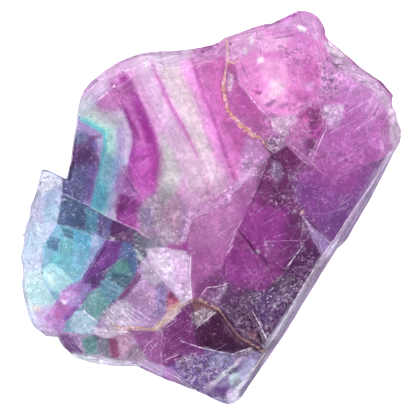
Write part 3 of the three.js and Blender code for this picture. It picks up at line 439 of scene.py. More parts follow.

# %% [markdown]
# ## Patches of colour, and of painted light and shade
#
# Inside a facet the colour drifts: clouds in the crystal, bands cut at a slant, frost on a step. Some
# patches are painted light and shade instead: glows where light shines through the crystal, glints,
# sparks and bright slivers where a face catches the light, and shade and shadow beside cracks, edges
# and steps. Every patch has a soft edge. A row names it and gives its colour, how strongly it covers,
# how soft its edge is in millimetres, its frost, and a walk around it.

# %% List the patches
PATCHES = """
pale shoulder | d6bcd6 | 0.8 | 1.2 | 0.4 | -27.9,19.1 -26.3,23.5 -23.7,26.7 -19.9,29.3 -15.1,31.7
    -11.9,32.5 -0.3,33.5 3.7,35.1 3.3,30.7 -0.9,29.9 -9.9,29.5 -13.9,28.7 -17.5,26.7 -20.7,24.7
    -23.1,22.3 -24.7,19.5
white brow | d8cedb | 0.6 | 1 | 0.35 | -13.9,31.9 -6.7,32.7 -2.7,33.1 -3.9,30.3 -6.3,28.3 -9.9,27.1
    -12.7,27.5 -14.7,29.1
shoulder magenta | bc79b2 | 0.85 | 0.8 | 0.2 | -22.7,20.7 -21.1,22.9 -17.9,24.7 -15.7,24.3 -14.3,21.9
    -15.3,19.9 -17.9,19.5 -19.5,18.3 -21.9,18.9
shoulder deep | a4629c | 0.6 | 0.8 | 0.15 | -19.1,24.3 -15.3,25.1 -14.1,22.1 -18.1,21.9
teal grey corner | bcc6c9 | 0.85 | 0.6 | 0.3 | -26.5,21.3 -23.9,22.3 -22.5,20.1 -23.5,18.1 -26.5,17.7
grey beside the mint | bac0b8 | 0.7 | 0.8 | 0.15 | -23.5,19.9 -19.5,19.1 -17.1,17.9 -17.9,15.9
    -21.1,16.3 -23.5,17.5
lavender triangle | b6a8c8 | 0.75 | 0.4 | 0.1 | -26.7,17.1 -21.1,14.3 -21.5,11.9 -22.7,13.5 -24.7,14.9
    -26.9,15.5
slate corner | 74809c | 0.85 | 0.4 | 0.35 | -26.9,15.5 -24.7,14.9 -23.9,13.3 -24.7,11.9 -27.5,12.3
plum spike | 7a4a7a | 0.85 | 0.3 | 0.15 | -23.5,14.3 -21.3,14.3 -23.1,13.1 -24.3,13.1
west plum | 6c4474 | 0.8 | 0.6 | 0.2 | -27.5,12.3 -23.9,13.1 -21.9,9.5 -22.7,6.3 -25.1,8.3 -28.3,6.3
west violet | 5a3670 | 0.7 | 0.6 | 0.25 | -25.9,12.3 -23.5,11.9 -22.1,8.7 -23.5,7.9 -25.1,9.9
west navy | 60668c | 0.85 | 0.8 | 0.35 | -28.7,7.5 -25.1,8.7 -23.1,7.5 -23.9,1.5 -27.5,1.9 -29.5,3.1
west lilac | 745e9c | 0.7 | 0.7 | 0.2 | -24.3,8.3 -21.7,9.1 -22.7,3.5 -23.9,0.7 -24.7,2.3
lilac of the triangle | b4b4ce | 0.6 | 0.3 | 0.1 | -22.7,13.7 -21.3,13.9 -21.1,11.5 -22.1,11.9
blue foot of the bands | 72a8ba | 0.75 | 0.8 | 0.15 | -21.1,10.7 -18.1,9.9 -18.3,5.9 -19.5,3.1
    -19.9,-0.5 -22.3,-0.1 -21.9,5.5
teal foot of the bands | 58b0bc | 0.8 | 0.7 | 0.12 | -22.5,4.7 -20.5,5.1 -20.9,-1.3 -23.5,-0.1
lilac foot of the bands | 98acc8 | 0.7 | 0.8 | 0.25 | -18.7,10.3 -16.3,9.5 -17.5,6.3 -18.3,2.7 -19.5,2.3
shards of the bands | a470aa | 0.75 | 0.5 | 0.35 | -17.7,8.3 -16.3,8.3 -15.9,5.5 -14.3,2.3 -17.5,2.3
    -19.1,3.5
heart of the window | c05ab8 | 0.75 | 0.8 | 0.08 | -15.1,11.5 -11.1,12.7 -9.3,10.3 -9.5,6.7 -11.1,3.5
    -13.9,3.9 -15.9,8.3
glow of the heart | d680cc | 0.75 | 0.8 | 0.05 | -14.3,9.5 -12.3,9.9 -11.9,7.9 -13.1,6.9 -14.3,7.9
dark flank of the heart | a03694 | 0.75 | 0.7 | 0.1 | -11.1,13.9 -9.5,11.5 -8.9,6.7 -10.7,4.3 -11.5,6.3
    -10.7,9.5
seam of the heart | a8469e | 0.6 | 0.4 | 0.1 | -15.5,9.9 -13.1,10.5 -10.3,11.5 -10.3,10.7 -13.1,9.5
    -15.3,8.7
foot of the heart | 842e82 | 0.8 | 0.7 | 0.15 | -18.3,2.7 -15.1,2.3 -13.5,0.7 -15.1,-1.7 -18.3,-1.7
    -19.1,0.3
white splinters | dabfe0 | 0.3 | 0.15 | 0.5 | -15.9,2.5 -14.3,3.5 -13.7,3.1 -14.7,2.3 -15.3,1.7
seam of the foot | 70266a | 0.5 | 0.3 | 0.15 | -18.3,0.3 -17.1,2.3 -15.1,2.3 -16.3,0.3 -17.5,-0.9
bright foot of the heart | a6489f | 0.8 | 0.6 | 0.15 | -17.5,-0.9 -14.7,-0.5 -13.9,-2.9 -15.1,-4.1
    -17.9,-2.5
mint lens | ccdccc | 0.8 | 1.2 | 0.08 | -9.9,15.1 -7.1,11.5 -5.5,6.3 -6.7,1.9 -9.1,0.7 -10.3,3.9
    -9.5,9.5
frost at the foot | aab0ae | 0.8 | 0.9 | 0.5 | -12.7,1.5 -9.9,3.5 -7.5,3.1 -7.9,-0.1 -9.5,-4.1
    -13.5,-4.9 -14.3,-1.3
mottled heel | b6a2b2 | 0.85 | 0.9 | 0.4 | -7.5,2.3 -4.3,1.9 -3.9,-1.3 -4.7,-6.5 -6.3,-7.7 -10.3,-6.5
    -9.9,-3.3
pale heel | ccc2cc | 0.7 | 0.6 | 0.5 | -10.7,-4.1 -8.3,-3.7 -6.7,-5.7 -7.5,-7.1 -10.3,-6.5
heel mute | a098a4 | 0.85 | 0.4 | 0.4 | -13.9,-4.1 -11.1,-4.7 -8.7,-5.9 -7.9,-7.1 -9.9,-7.1 -11.9,-6.5
    -13.5,-5.7
beige of the heel | b699aa | 0.6 | 0.6 | 0.3 | -9.1,0.3 -6.7,1.1 -5.1,-0.9 -5.5,-4.1 -7.9,-3.7 -9.9,-1.7
violet of the heel | a488b6 | 0.7 | 0.5 | 0.3 | -5.7,1.1 -4.3,0.3 -4.1,-2.9 -5.1,-6.5 -6.3,-5.7
    -5.5,-2.5
blue of the foot | 8c84a8 | 0.65 | 0.5 | 0.4 | -13.9,-0.1 -11.9,0.5 -10.9,-2.1 -12.1,-4.1 -13.7,-3.7
pale lens | e0d0d8 | 0.75 | 1.3 | 0.06 | -4.7,15.9 -1.9,13.5 0.1,7.9 -0.7,3.5 -3.9,3.1 -4.7,9.5
cream band | dcd6d2 | 0.65 | 0.7 | 0.08 | -8.7,28.3 -6.3,27.9 -4.7,24.7 -3.3,21.9 -2.1,18.3 -0.7,14.7
    0.9,11.1 -1.9,9.9 -3.1,12.7 -4.7,16.3 -6.7,20.3 -8.3,23.5 -9.7,26.3
pink of the cream | eeb4e4 | 0.7 | 0.4 | 0.06 | -5.9,29.5 -3.7,28.7 -2.7,25.9 -1.7,22.7 -2.7,22.1
    -3.9,23.9 -5.3,26.7
pink stripe | e6a6e0 | 0.7 | 0.3 | 0.06 | -1.5,21.1 -0.5,19.9 0.7,17.1 1.9,13.5 3.3,9.5 1.9,9.1 0.7,12.3
    -0.7,16.7
thin pink line above | c486bc | 0.6 | 0.25 | 0.1 | -11.9,29.5 -11.3,29.5 -10.3,26.5 -9.9,25.5 -10.5,25.5
    -11.5,27.5
thin pink line | c46eb8 | 0.75 | 0.2 | 0.1 | -10.5,26.1 -9.9,25.9 -8.5,22.7 -7.1,19.9 -4.9,16.1
    -3.5,13.3 -2.1,9.9 -2.5,9.9 -4.1,13.1 -5.5,15.7 -7.9,19.9 -9.3,22.5
thin rose line | d692ca | 0.5 | 0.25 | 0.1 | -3.3,23.1 -2.9,23.1 -1.5,19.1 -0.7,15.9 0.9,11.9 2.1,9.1
    1.5,9.1 0.1,11.9 -1.3,15.5 -2.1,19.1
scalloped step | c98fc0 | 0.8 | 0.4 | 0.4 | 11.7,9.9 8.1,7.7 4.5,5.1 0.9,2.7 -3.5,-0.5 -4.1,-1.7
    -3.7,-2.3 -1.9,-1.3 -0.3,-0.7 0.9,0.1 2.5,0.9 3.9,1.3 4.3,2.5 4.9,3.5 5.9,4.1 6.7,5.1 7.3,5.9
    7.9,6.7 9.7,6.5 10.7,7.3
magenta edge | b456ac | 0.4 | 0.25 | 0.1 | -4.1,30.1 -3.3,30.1 -2.3,27.1 -1.7,23.5 -0.9,22.1 0.3,19.9
    1.3,17.1 2.3,13.9 3.7,9.9 2.9,9.9 1.5,13.9 0.5,17.1 -0.5,19.9 -1.9,22.3 -2.7,25.5
brow pink | c98cc2 | 0.8 | 0.5 | 0.3 | -2.7,32.7 3.7,35.1 3.3,29.9 -1.9,29.9 -3.9,30.3
dark rim of the magenta | 96388a | 0.65 | 0.2 | 0.1 | -17.1,19.7 -16.7,19.7 -15.3,17.1 -14.1,14.7
    -13.7,13.5 -14.3,13.5 -14.9,14.7 -15.9,16.7
magenta band | a0389a | 0.7 | 0.4 | 0.1 | -15.7,23.1 -14.3,22.5 -12.7,19.1 -11.3,15.9 -10.3,13.5
    -11.1,13.1 -12.3,14.7 -13.7,18.3 -15.1,20.7
rose foot of the bands | c098b6 | 0.7 | 1.2 | 0.25 | -5.1,3.1 -0.7,4.3 3.7,5.9 3.3,3.9 -0.7,1.5
    -3.9,-0.9
pink beside the seam | d286c0 | 0.75 | 1.2 | 0.12 | -0.7,29.1 2.7,29.1 2.7,23.9 3.3,20.7 5.7,16.7
    3.7,15.9 1.3,19.9 0.1,23.5
magenta under the seam | b868a8 | 0.7 | 1 | 0.15 | 2.1,19.1 5.3,16.7 8.9,13.1 7.3,11.1 3.7,14.3
grey stalk by the seam | d4ccd0 | 0.8 | 0.3 | 0.8 | 3.9,26.7 4.7,26.3 4.5,23.9 3.9,22.7 3.5,24.3
tongue frost | c8a6cc | 0.8 | 0.7 | 0.6 | 7.3,13.9 9.7,13.3 11.7,10.3 10.9,7.1 7.7,5.1 5.7,4.7 6.1,9.1
scalloped rim | d6b6d8 | 0.75 | 0.35 | 0.6 | 10.5,7.1 9.7,6.3 7.9,6.5 7.3,5.7 6.7,4.9 5.9,3.9 4.9,3.3
    4.3,2.3 3.9,1.1 2.5,0.7 0.9,-0.1 -0.3,-0.9 -1.9,-1.5 -3.1,-1.9 -3.7,-2.5 -4.1,-4.1 -4.5,-5.7
    -4.9,-6.7 -5.5,-6.5 -5.1,-4.1 -4.5,-2.1 -3.5,-0.9 -1.1,0.1 0.9,1.1 3.1,1.9 3.7,3.3 4.9,4.7 6.1,6.1
    8.1,7.7 10.5,8.7
navy wedge | 4e6888 | 0.85 | 0.33 | 0.4 | -30.3,-2.9 -29.5,2.7 -26.7,1.9 -23.9,-0.1 -23.9,-4.5
    -27.5,-4.1
teal wedge | 589caa | 0.8 | 0.33 | 0.3 | -24.7,-0.1 -21.9,-1.3 -22.3,-5.1 -24.7,-4.7
violet wedge | 706496 | 0.85 | 0.28 | 0.3 | -22.1,-1.3 -19.1,-2.7 -19.3,-5.9 -22.5,-5.3
heart under the crack | 641f64 | 0.85 | 0.28 | 0.25 | -19.3,-2.5 -14.7,-4.5 -14.7,-7.3 -17.5,-7.1
    -19.9,-5.7
slate under the crack | 62707a | 0.85 | 0.33 | 0.35 | -15.1,-4.7 -11.5,-6.5 -11.5,-8.9 -13.1,-10.1
    -15.1,-8.5
heel under the crack | 8f9ca2 | 0.8 | 0.33 | 0.4 | -11.9,-6.1 -8.3,-7.5 -8.7,-8.5 -12.7,-8.5
white chip | dcc8d0 | 0.9 | 0.15 | 0.3 | -19.7,-6.1 -18.9,-5.9 -18.7,-6.5 -19.5,-6.7
ice chips | b8d2cc | 0.8 | 0.2 | 0.6 | -15.3,-8.1 -14.3,-8.5 -12.7,-10.5 -13.5,-10.9 -15.1,-9.3
corner ice | d6dee2 | 0.7 | 0.6 | 0.4 | -33.9,7.1 -32.7,7.5 -29.5,5.5 -29.9,4.3 -33.5,2.3 -34.3,3.9
corner blue | a6c0d4 | 0.75 | 0.8 | 0.3 | -33.1,2.3 -29.7,4.3 -30.3,0.3 -32.7,-0.5
corner sky | aacfd6 | 0.75 | 0.6 | 0.25 | -33.5,-0.1 -29.9,0.7 -30.5,-2.9 -32.7,-3.3
corner lilac | bcb9cc | 0.7 | 0.7 | 0.3 | -35.5,0.3 -33.9,1.5 -33.1,-2.9 -35.1,-4.5 -36.3,-3.3
shore pale | b4d5de | 0.75 | 1 | 0.35 | -37.5,-4.1 -34.3,-2.9 -32.7,-5.7 -34.3,-10.9 -37.5,-11.7
    -38.1,-7.7
shore lilac | d0d8e6 | 0.75 | 0.8 | 0.4 | -35.9,-7.7 -33.5,-8.1 -33.1,-10.9 -35.5,-12.9 -37.1,-11.3
shore white | cedce6 | 0.7 | 0.6 | 0.5 | -34.3,-3.3 -31.5,-3.3 -32.7,-6.5 -34.7,-7.7
shore ice | cde8e4 | 0.8 | 0.44 | 0.3 | -37.1,-13.3 -33.5,-12.1 -32.3,-16.9 -33.1,-20.9 -36.3,-20.1
    -37.3,-16.5
shore aqua | b8e0dc | 0.8 | 0.39 | 0.25 | -36.7,-15.3 -34.3,-14.9 -31.1,-17.7 -31.1,-19.3 -34.7,-19.3
    -36.3,-17.7
shore lavender | cfb8d8 | 0.8 | 0.7 | 0.4 | -34.7,-20.1 -31.9,-19.7 -30.3,-22.9 -29.9,-25.3 -32.7,-24.9
    -34.7,-23.3
shore beige | e2d6c0 | 0.6 | 0.4 | 0.3 | -35.3,-19.5 -33.7,-19.7 -33.9,-20.9 -35.3,-20.7
west rim | b2b8c8 | 0.8 | 0.5 | 0.5 | -38.3,-8.5 -37.5,-4.1 -35.9,-0.9 -35.1,2.3 -33.9,7.1 -33.1,7.5
    -33.9,2.3 -35.9,-4.1 -37.1,-8.5 -36.7,-16.5 -35.9,-22.1 -33.5,-24.9 -30.3,-25.7 -34.7,-25.3
    -37.1,-18.5
blue spot | 507e98 | 0.85 | 0.25 | 0.25 | -32.5,-6.5 -31.5,-5.7 -29.9,-6.3 -30.3,-8.9 -32.3,-7.9
cyan block | 7ec2c8 | 0.8 | 0.39 | 0.4 | -29.5,-3.7 -23.1,-4.9 -24.3,-10.9 -27.1,-14.5 -31.9,-11.3
    -31.9,-9.3 -29.9,-8.5
cyan heart | 62b8d0 | 0.8 | 0.28 | 0.4 | -27.1,-4.5 -23.5,-5.3 -23.5,-7.7 -24.7,-8.5 -26.7,-7.7
cyan tile | 74bcb8 | 0.8 | 0.2 | 0.4 | -29.5,-6.5 -27.5,-6.7 -27.1,-9.3 -29.5,-8.9
blue tile | 92c8dc | 0.75 | 0.2 | 0.4 | -26.9,-8.5 -24.1,-8.9 -25.5,-12.1 -27.1,-11.7
aqua tile | 84d2d6 | 0.75 | 0.2 | 0.4 | -31.5,-9.3 -29.1,-9.3 -28.7,-12.1 -31.1,-11.3
slate tile | 3a6a82 | 0.75 | 0.2 | 0.15 | -29.5,-4.1 -27.1,-4.5 -27.1,-6.3 -29.1,-5.7
mint of the block | bce8e2 | 0.85 | 0.22 | 0.3 | -33.1,-12.1 -31.5,-10.9 -29.1,-12.5 -27.1,-14.9
    -29.5,-17.3 -31.9,-16.1 -33.1,-14.5
white of the mint | e0f8ee | 0.75 | 0.4 | 0.3 | -32.3,-13.3 -31.1,-12.9 -30.7,-15.7 -31.9,-15.7
step lavender | a8b6d8 | 0.85 | 0.2 | 0.35 | -23.3,-4.9 -20.5,-6.3 -22.3,-9.7 -24.7,-13.3 -25.9,-14.1
    -23.9,-9.7
step white | c8d8e8 | 0.8 | 0.2 | 0.5 | -23.5,-5.7 -22.3,-5.7 -22.1,-7.5 -23.3,-7.7
gully violet | 7a3c8c | 0.85 | 0.22 | 0.15 | -20.5,-6.5 -17.5,-7.1 -17.9,-10.1 -20.3,-12.9 -22.3,-16.1
    -24.7,-15.1 -22.3,-10.1
gully bright | 96549f | 0.75 | 0.3 | 0.12 | -22.3,-9.7 -20.7,-9.3 -20.7,-11.3 -21.9,-12.1 -22.7,-11.3
gully dark | 5c3c74 | 0.75 | 0.3 | 0.2 | -21.1,-12.1 -19.9,-12.1 -21.1,-15.7 -23.5,-16.1 -24.7,-14.9
    -23.1,-13.7
gully lilac | aaa0ce | 0.8 | 0.28 | 0.4 | -26.7,-14.9 -23.5,-15.3 -25.1,-18.1 -27.5,-19.7 -28.7,-18.5
gully rose | ca8ccc | 0.85 | 0.28 | 0.3 | -29.5,-16.5 -25.9,-15.3 -25.9,-17.7 -27.9,-20.9 -31.5,-23.7
    -33.1,-22.1 -30.3,-18.5
gully rose above | b082c1 | 0.8 | 0.3 | 0.2 | -28.7,-15.7 -25.5,-14.5 -24.1,-15.7 -25.9,-17.1
    -28.1,-16.9
gully lilac glint | b29bc8 | 0.85 | 0.25 | 0.5 | -28.7,-17.9 -25.9,-17.3 -25.5,-18.5 -27.1,-19.7
    -28.7,-19.3
gully glint | d8b6e1 | 0.9 | 0.25 | 0.5 | -29.5,-16.9 -27.1,-16.5 -26.3,-17.7 -27.9,-18.3 -28.7,-19.7
    -29.9,-18.5
gully magenta | b674b4 | 0.85 | 0.25 | 0.2 | -30.3,-18.5 -28.7,-19.3 -27.5,-20.9 -29.1,-21.3 -30.7,-19.7
gully foot | b88cc2 | 0.8 | 0.28 | 0.35 | -32.7,-21.3 -29.5,-20.9 -28.7,-23.7 -29.9,-25.3 -32.3,-23.7
gully spark | f484d2 | 0.8 | 0.15 | 0.2 | -29.5,-18.1 -28.7,-17.7 -28.7,-18.7 -29.3,-18.9
gully white | fbf4fb | 0.95 | 0.15 | 0.4 | -29.5,-18.5 -28.9,-18.3 -28.5,-19.1 -29.1,-19.5
gully hot foot | bc70ac | 0.75 | 0.25 | 0.2 | -31.1,-20.9 -29.9,-20.1 -29.1,-21.3 -29.9,-22.7
    -30.9,-22.1
terrace grey violet | 6a6c98 | 0.8 | 0.3 | 0.25 | -17.5,-6.7 -15.5,-7.7 -14.5,-9.3 -16.7,-10.9
    -18.3,-10.1
terrace teal | 50868c | 0.85 | 0.2 | 0.25 | -19.9,-11.7 -17.1,-10.1 -14.5,-10.9 -14.7,-14.1 -16.7,-16.3
    -21.1,-13.9
terrace dark teal | 406874 | 0.8 | 0.2 | 0.25 | -19.3,-12.9 -17.5,-13.3 -15.7,-13.7 -16.3,-16.1
    -17.5,-15.9 -19.9,-14.3
terrace slate band | 5c78a4 | 0.8 | 0.25 | 0.25 | -17.3,-7.1 -15.7,-6.9 -14.5,-9.5 -14.3,-12.5
    -15.3,-13.5 -15.9,-10.9 -17.1,-9.7
terrace light teal | 6aa89a | 0.8 | 0.2 | 0.25 | -19.3,-11.5 -18.1,-10.7 -16.5,-10.9 -16.1,-12.5
    -17.1,-13.1 -18.7,-12.7
terrace grey edge | 84a4b4 | 0.8 | 0.25 | 0.3 | -21.9,-14.9 -20.3,-14.1 -17.7,-16.1 -18.3,-17.3
    -21.1,-15.7
terrace sea green | 74aaa2 | 0.85 | 0.2 | 0.3 | -24.3,-17.1 -22.7,-16.3 -20.7,-17.3 -19.5,-19.3
    -20.3,-20.9 -22.3,-22.5 -23.9,-21.3 -25.5,-19.7
terrace blue green | 6a9eac | 0.85 | 0.15 | 0.25 | -21.7,-14.7 -20.3,-14.3 -17.9,-16.1 -18.7,-18.1
    -19.7,-19.3 -21.3,-17.1
terrace deep square | 4c90a0 | 0.7 | 0.12 | 0.25 | -20.7,-17.1 -19.3,-17.7 -19.3,-19.3 -20.3,-19.5
terrace second square | 588a90 | 0.75 | 0.12 | 0.25 | -25.9,-19.3 -23.9,-20.1 -23.3,-21.1 -24.7,-21.1
    -25.9,-20.3
terrace pink stripe | 604880 | 0.75 | 0.2 | 0.3 | -19.1,-18.1 -18.3,-18.5 -20.3,-21.3 -21.9,-22.9
    -22.3,-22.3 -20.7,-20.5
terrace ice | bad4da | 0.85 | 0.28 | 0.5 | -27.1,-20.9 -25.1,-20.5 -22.3,-22.5 -22.7,-24.9 -25.9,-25.3
    -27.9,-23.7
maroon ridge | 7a3a72 | 0.8 | 0.25 | 0.15 | -14.3,-12.5 -13.5,-13.7 -14.7,-15.7 -16.3,-17.5 -17.9,-18.5
    -18.7,-18.5 -17.1,-16.5 -15.5,-14.5
terrace pale | c0bcc4 | 0.8 | 0.33 | 0.35 | -13.9,-9.7 -11.9,-10.9 -9.1,-14.5 -10.7,-15.7 -13.1,-14.1
terrace mauve | bc9cc0 | 0.8 | 0.33 | 0.3 | -15.1,-16.1 -13.1,-14.5 -10.3,-16.5 -10.7,-19.3 -11.9,-22.5
    -15.5,-20.9 -17.1,-18.9
terrace rose | be9cb6 | 0.7 | 0.28 | 0.3 | -13.5,-16.9 -11.1,-16.9 -10.7,-18.9 -12.7,-19.3
terrace violet | 8c80ac | 0.8 | 0.2 | 0.35 | -10.5,-15.3 -9.1,-15.3 -8.3,-17.7 -9.1,-20.9 -10.5,-22.1
    -10.9,-18.1
terrace streaked | c8c0cc | 0.85 | 0.6 | 0.6 | -22.3,-22.1 -19.5,-19.3 -16.7,-18.5 -14.7,-21.3
    -12.3,-23.3 -19.5,-24.1
terrace lilac | ae94bc | 0.75 | 0.28 | 0.5 | -16.3,-20.1 -11.9,-19.3 -10.3,-22.1 -12.7,-23.7 -15.1,-22.9
white crest | ece6ec | 0.62 | 0.3 | 0.6 | -23.9,-23.7 -21.1,-24.1 -18.7,-23.9 -15.9,-24.7 -18.1,-25.3
    -19.5,-25.9 -20.7,-26.1 -22.3,-25.5
cream crest | d8d1cd | 0.85 | 0.25 | 0.7 | -3.7,-17.5 -3.5,-18.5 -5.3,-19.9 -7.3,-22.3 -9.3,-23.9
    -10.7,-24.7 -12.1,-24.5 -9.9,-22.5 -7.9,-20.7 -5.7,-18.7
umber of the crest | 503c40 | 0.85 | 0.2 | 0.2 | -23.5,-25.3 -22.1,-25.7 -20.9,-26.3 -22.3,-26.5
frost triangle | d8ccde | 0.95 | 0.25 | 0.45 | -12.7,-8.3 -9.9,-7.9 -5.1,-8.5 -3.7,-10.1 -3.9,-13.7
    -3.5,-18.7 -5.1,-19.3 -6.7,-17.7 -8.3,-15.3 -10.3,-12.9 -11.9,-10.9
frost rose | d2aed0 | 0.6 | 0.8 | 0.4 | -7.1,-10.9 -4.3,-10.1 -3.9,-15.3 -5.5,-16.5 -6.7,-14.5
frost white | e6e2e8 | 0.8 | 0.5 | 0.5 | -11.9,-8.9 -8.7,-9.7 -7.1,-12.1 -8.3,-13.3 -10.7,-11.3
spark red | b4506c | 0.85 | 0.3 | 0.3 | -8.3,-16.7 -7.1,-17.5 -5.9,-18.5 -7.1,-19.3 -8.7,-19.9
spark magenta | 80286c | 0.85 | 0.2 | 0.1 | -8.3,-17.7 -7.7,-16.7 -6.9,-17.3 -7.5,-18.1
spark amber | d2a880 | 0.85 | 0.25 | 0.3 | -7.1,-19.1 -5.9,-18.7 -6.1,-19.5 -7.5,-20.5 -8.5,-21.1
    -8.3,-20.1
strip purple | 64107a | 0.85 | 0.3 | 0.15 | -30.3,-25.3 -28.3,-25.3 -27.1,-26.9 -25.5,-28.5 -25.1,-29.3
    -27.1,-29.5 -28.7,-28.1
strip lilac | 885c98 | 0.7 | 0.4 | 0.3 | -29.1,-25.3 -26.3,-25.7 -25.9,-27.3 -27.9,-27.3
strip teal | 50928a | 0.85 | 0.2 | 0.2 | -25.7,-26.3 -23.1,-25.5 -22.5,-26.1 -22.3,-29.5 -24.7,-29.3
strip slate | 707684 | 0.8 | 0.2 | 0.25 | -22.5,-26.1 -19.9,-26.1 -19.9,-30.1 -22.3,-29.7
strip maroon | 8c2c62 | 0.85 | 0.25 | 0.15 | -20.1,-26.1 -18.7,-25.9 -17.7,-28.9 -18.3,-30.3 -19.7,-30.1
strip green grey | 8c748a | 0.8 | 0.35 | 0.3 | -16.7,-26.9 -14.1,-27.5 -13.1,-29.7 -14.7,-31.1
    -16.3,-29.9
strip mauve | c49cb2 | 0.8 | 0.5 | 0.3 | -18.3,-25.5 -15.7,-25.3 -15.1,-27.7 -16.7,-28.9 -17.1,-30.7
    -18.1,-28.9
strip rose | 984a92 | 0.85 | 0.4 | 0.25 | -15.9,-24.7 -9.3,-24.9 -9.1,-27.3 -9.5,-32.1 -12.3,-30.7
    -13.7,-28.1
south rim | dcdde6 | 0.85 | 0.4 | 0.45 | -29.9,-28.5 -28.7,-28.9 -24.7,-29.7 -19.5,-30.3 -13.5,-31.3
    -13.5,-33.3 -21.9,-32.1 -28.7,-30.9
south rim east | c4aed0 | 0.8 | 0.4 | 0.4 | -13.5,-31.1 -11.9,-30.9 -5.9,-32.5 -4.3,-35.7 -8.9,-34.9
    -13.5,-33.3
rose of the south rim | c88cd0 | 0.75 | 0.4 | 0.3 | -9.1,-32.1 -7.5,-32.1 -6.3,-34.1 -6.7,-35.3
    -9.1,-34.5
south rim teal | d0e4e0 | 0.6 | 0.4 | 0.4 | -27.5,-28.9 -23.5,-29.7 -23.5,-30.9 -26.3,-30.5
plum slope | 84347c | 0.8 | 1.2 | 0.3 | -9.1,-24.9 -3.9,-20.1 -3.1,-24.5 -2.7,-27.7 -6.3,-30.1
    -9.1,-30.9
plum light | 6c2470 | 0.8 | 0.6 | 0.15 | -5.5,-26.9 -2.3,-27.7 -3.5,-29.3 -6.3,-30.5
well silver | b0a4a8 | 0.9 | 0.25 | 0.9 | -3.5,-20.9 -1.9,-20.1 0.9,-20.3 -0.3,-22.5 -2.3,-23.7
    -3.5,-22.9
well umber | a0706e | 0.8 | 0.3 | 0.5 | -3.9,-18.5 -1.5,-18.5 1.3,-20.5 -1.1,-20.1 -3.1,-20.5
deep well | 42003e | 0.9 | 0.6 | 0.04 | -2.7,-23.7 -0.3,-23.7 1.7,-21.7 4.9,-25.3 7.7,-27.7 3.7,-28.9
    -1.9,-27.7
deep well dust | 54004a | 0.7 | 0.8 | 0.08 | -2.3,-24.5 1.3,-22.5 2.9,-24.5 0.5,-26.9 -1.9,-26.5
well rust | 784a70 | 0.75 | 0.5 | 0.3 | 1.5,-20.9 3.5,-22.5 5.7,-25.3 8.5,-27.3 6.5,-27.7 3.3,-24.5
field mauve | 683c6c | 0.8 | 0.8 | 0.4 | 3.7,-15.3 6.1,-14.9 8.1,-18.1 9.3,-23.7 6.9,-24.5 3.7,-20.9
    2.1,-19.7
field plum | 4e1248 | 0.8 | 0.8 | 0.35 | 5.7,-20.5 8.5,-20.9 9.7,-23.7 8.1,-24.9 6.1,-23.7
field rust | 8c5c6c | 0.85 | 0.3 | 0.3 | 6.7,-24.5 8.9,-24.5 10.5,-26.9 8.5,-26.5
field shard | 4a0038 | 0.85 | 0.25 | 0.2 | 9.3,-24.5 10.5,-24.9 11.3,-27.3 10.1,-27.3 9.3,-26.1
field violet | 60387a | 0.75 | 1.2 | 0.65 | 8.5,-17.7 14.1,-16.1 14.9,-20.9 10.5,-24.5 9.3,-20.9
field east | 5a2266 | 0.75 | 1 | 0.8 | 13.7,-16.5 18.1,-12.5 20.5,-10.9 18.1,-16.5 14.9,-21.3 12.1,-25.3
    10.9,-24.5
bright gusset | 8a5f8c | 0.85 | 0.4 | 0.5 | -1.1,-17.7 0.9,-15.7 3.7,-14.5 1.7,-19.3 -0.3,-19.7
gusset web | b4a6ba | 0.7 | 0.3 | 0.7 | 0.9,-18.9 2.3,-16.1 3.7,-14.7 2.5,-17.7 1.5,-19.3
gusset shade | 843e80 | 0.8 | 0.6 | 0.25 | 3.7,-10.9 2.5,-15.3 -0.3,-16.5 -3.1,-18.9 -2.7,-15.3
    0.5,-12.5
mauve slope top | c08cb8 | 0.75 | 1.5 | 0.15 | -3.5,-1.7 5.1,2.3 5.7,-2.5 2.9,-7.7 -3.1,-7.7
mauve slope middle | a864a0 | 0.7 | 1.2 | 0.15 | -3.5,-7.7 3.3,-7.7 0.9,-13.7 -3.1,-14.9
core glow | a0449c | 0.8 | 2 | 0.12 | 7.3,-0.5 14.9,0.7 15.3,-7.7 10.5,-8.5 7.3,-4.5
core rose | a44ea0 | 0.7 | 1.5 | 0.2 | 3.7,-7.7 9.7,-8.9 10.5,-15.3 5.3,-16.1 2.5,-13.7
crack shade | 6c2a68 | 0.7 | 0.3 | 0.2 | 5.9,-4.5 6.7,-4.1 9.7,-8.5 12.1,-11.3 11.3,-12.1 8.5,-8.9
old crack | 9c2090 | 0.8 | 0.2 | 0.15 | 5.7,-4.1 6.5,-4.1 7.7,-5.7 8.9,-7.3 9.5,-8.3 8.5,-8.7 7.3,-7.1
silver crumbs of the crack | c0c2c4 | 0.85 | 0.15 | 0.7 | 8.7,-8.5 9.7,-8.3 10.3,-9.1 9.1,-9.3
silver dust of the crack | 9c70a8 | 0.5 | 0.4 | 0.7 | 10.5,-6.9 12.1,-6.9 13.3,-8.3 11.3,-8.5
low plane of the core | 86307f | 0.55 | 0.4 | 0.2 | 4.5,-8.3 8.1,-7.9 10.5,-9.7 12.1,-12.5 8.9,-10.9
    5.3,-10.9 2.5,-12.1
core crumbs | 862882 | 0.5 | 0.5 | 0.35 | 11.3,3.9 14.1,3.9 16.1,0.7 15.7,-1.3 13.7,-0.9 12.1,1.1
core second glow | 9c4c98 | 0.6 | 1.5 | 0.15 | 5.3,-9.7 10.5,-9.3 11.3,-15.5 6.1,-16.5
dark under the quad | 742e68 | 0.8 | 0.9 | 0.3 | 9.3,8.3 11.7,9.9 18.1,7.5 15.7,0.7 10.5,0.3
grey streak of the core | 9484a0 | 0.75 | 0.5 | 0.6 | 12.5,9.5 14.1,8.7 14.5,5.9 13.3,4.7 12.1,7.1
grey shard of the core | 834482 | 0.7 | 0.4 | 0.7 | 15.3,8.3 17.3,7.5 17.7,5.9 16.9,3.1 15.7,2.3
    15.3,5.5
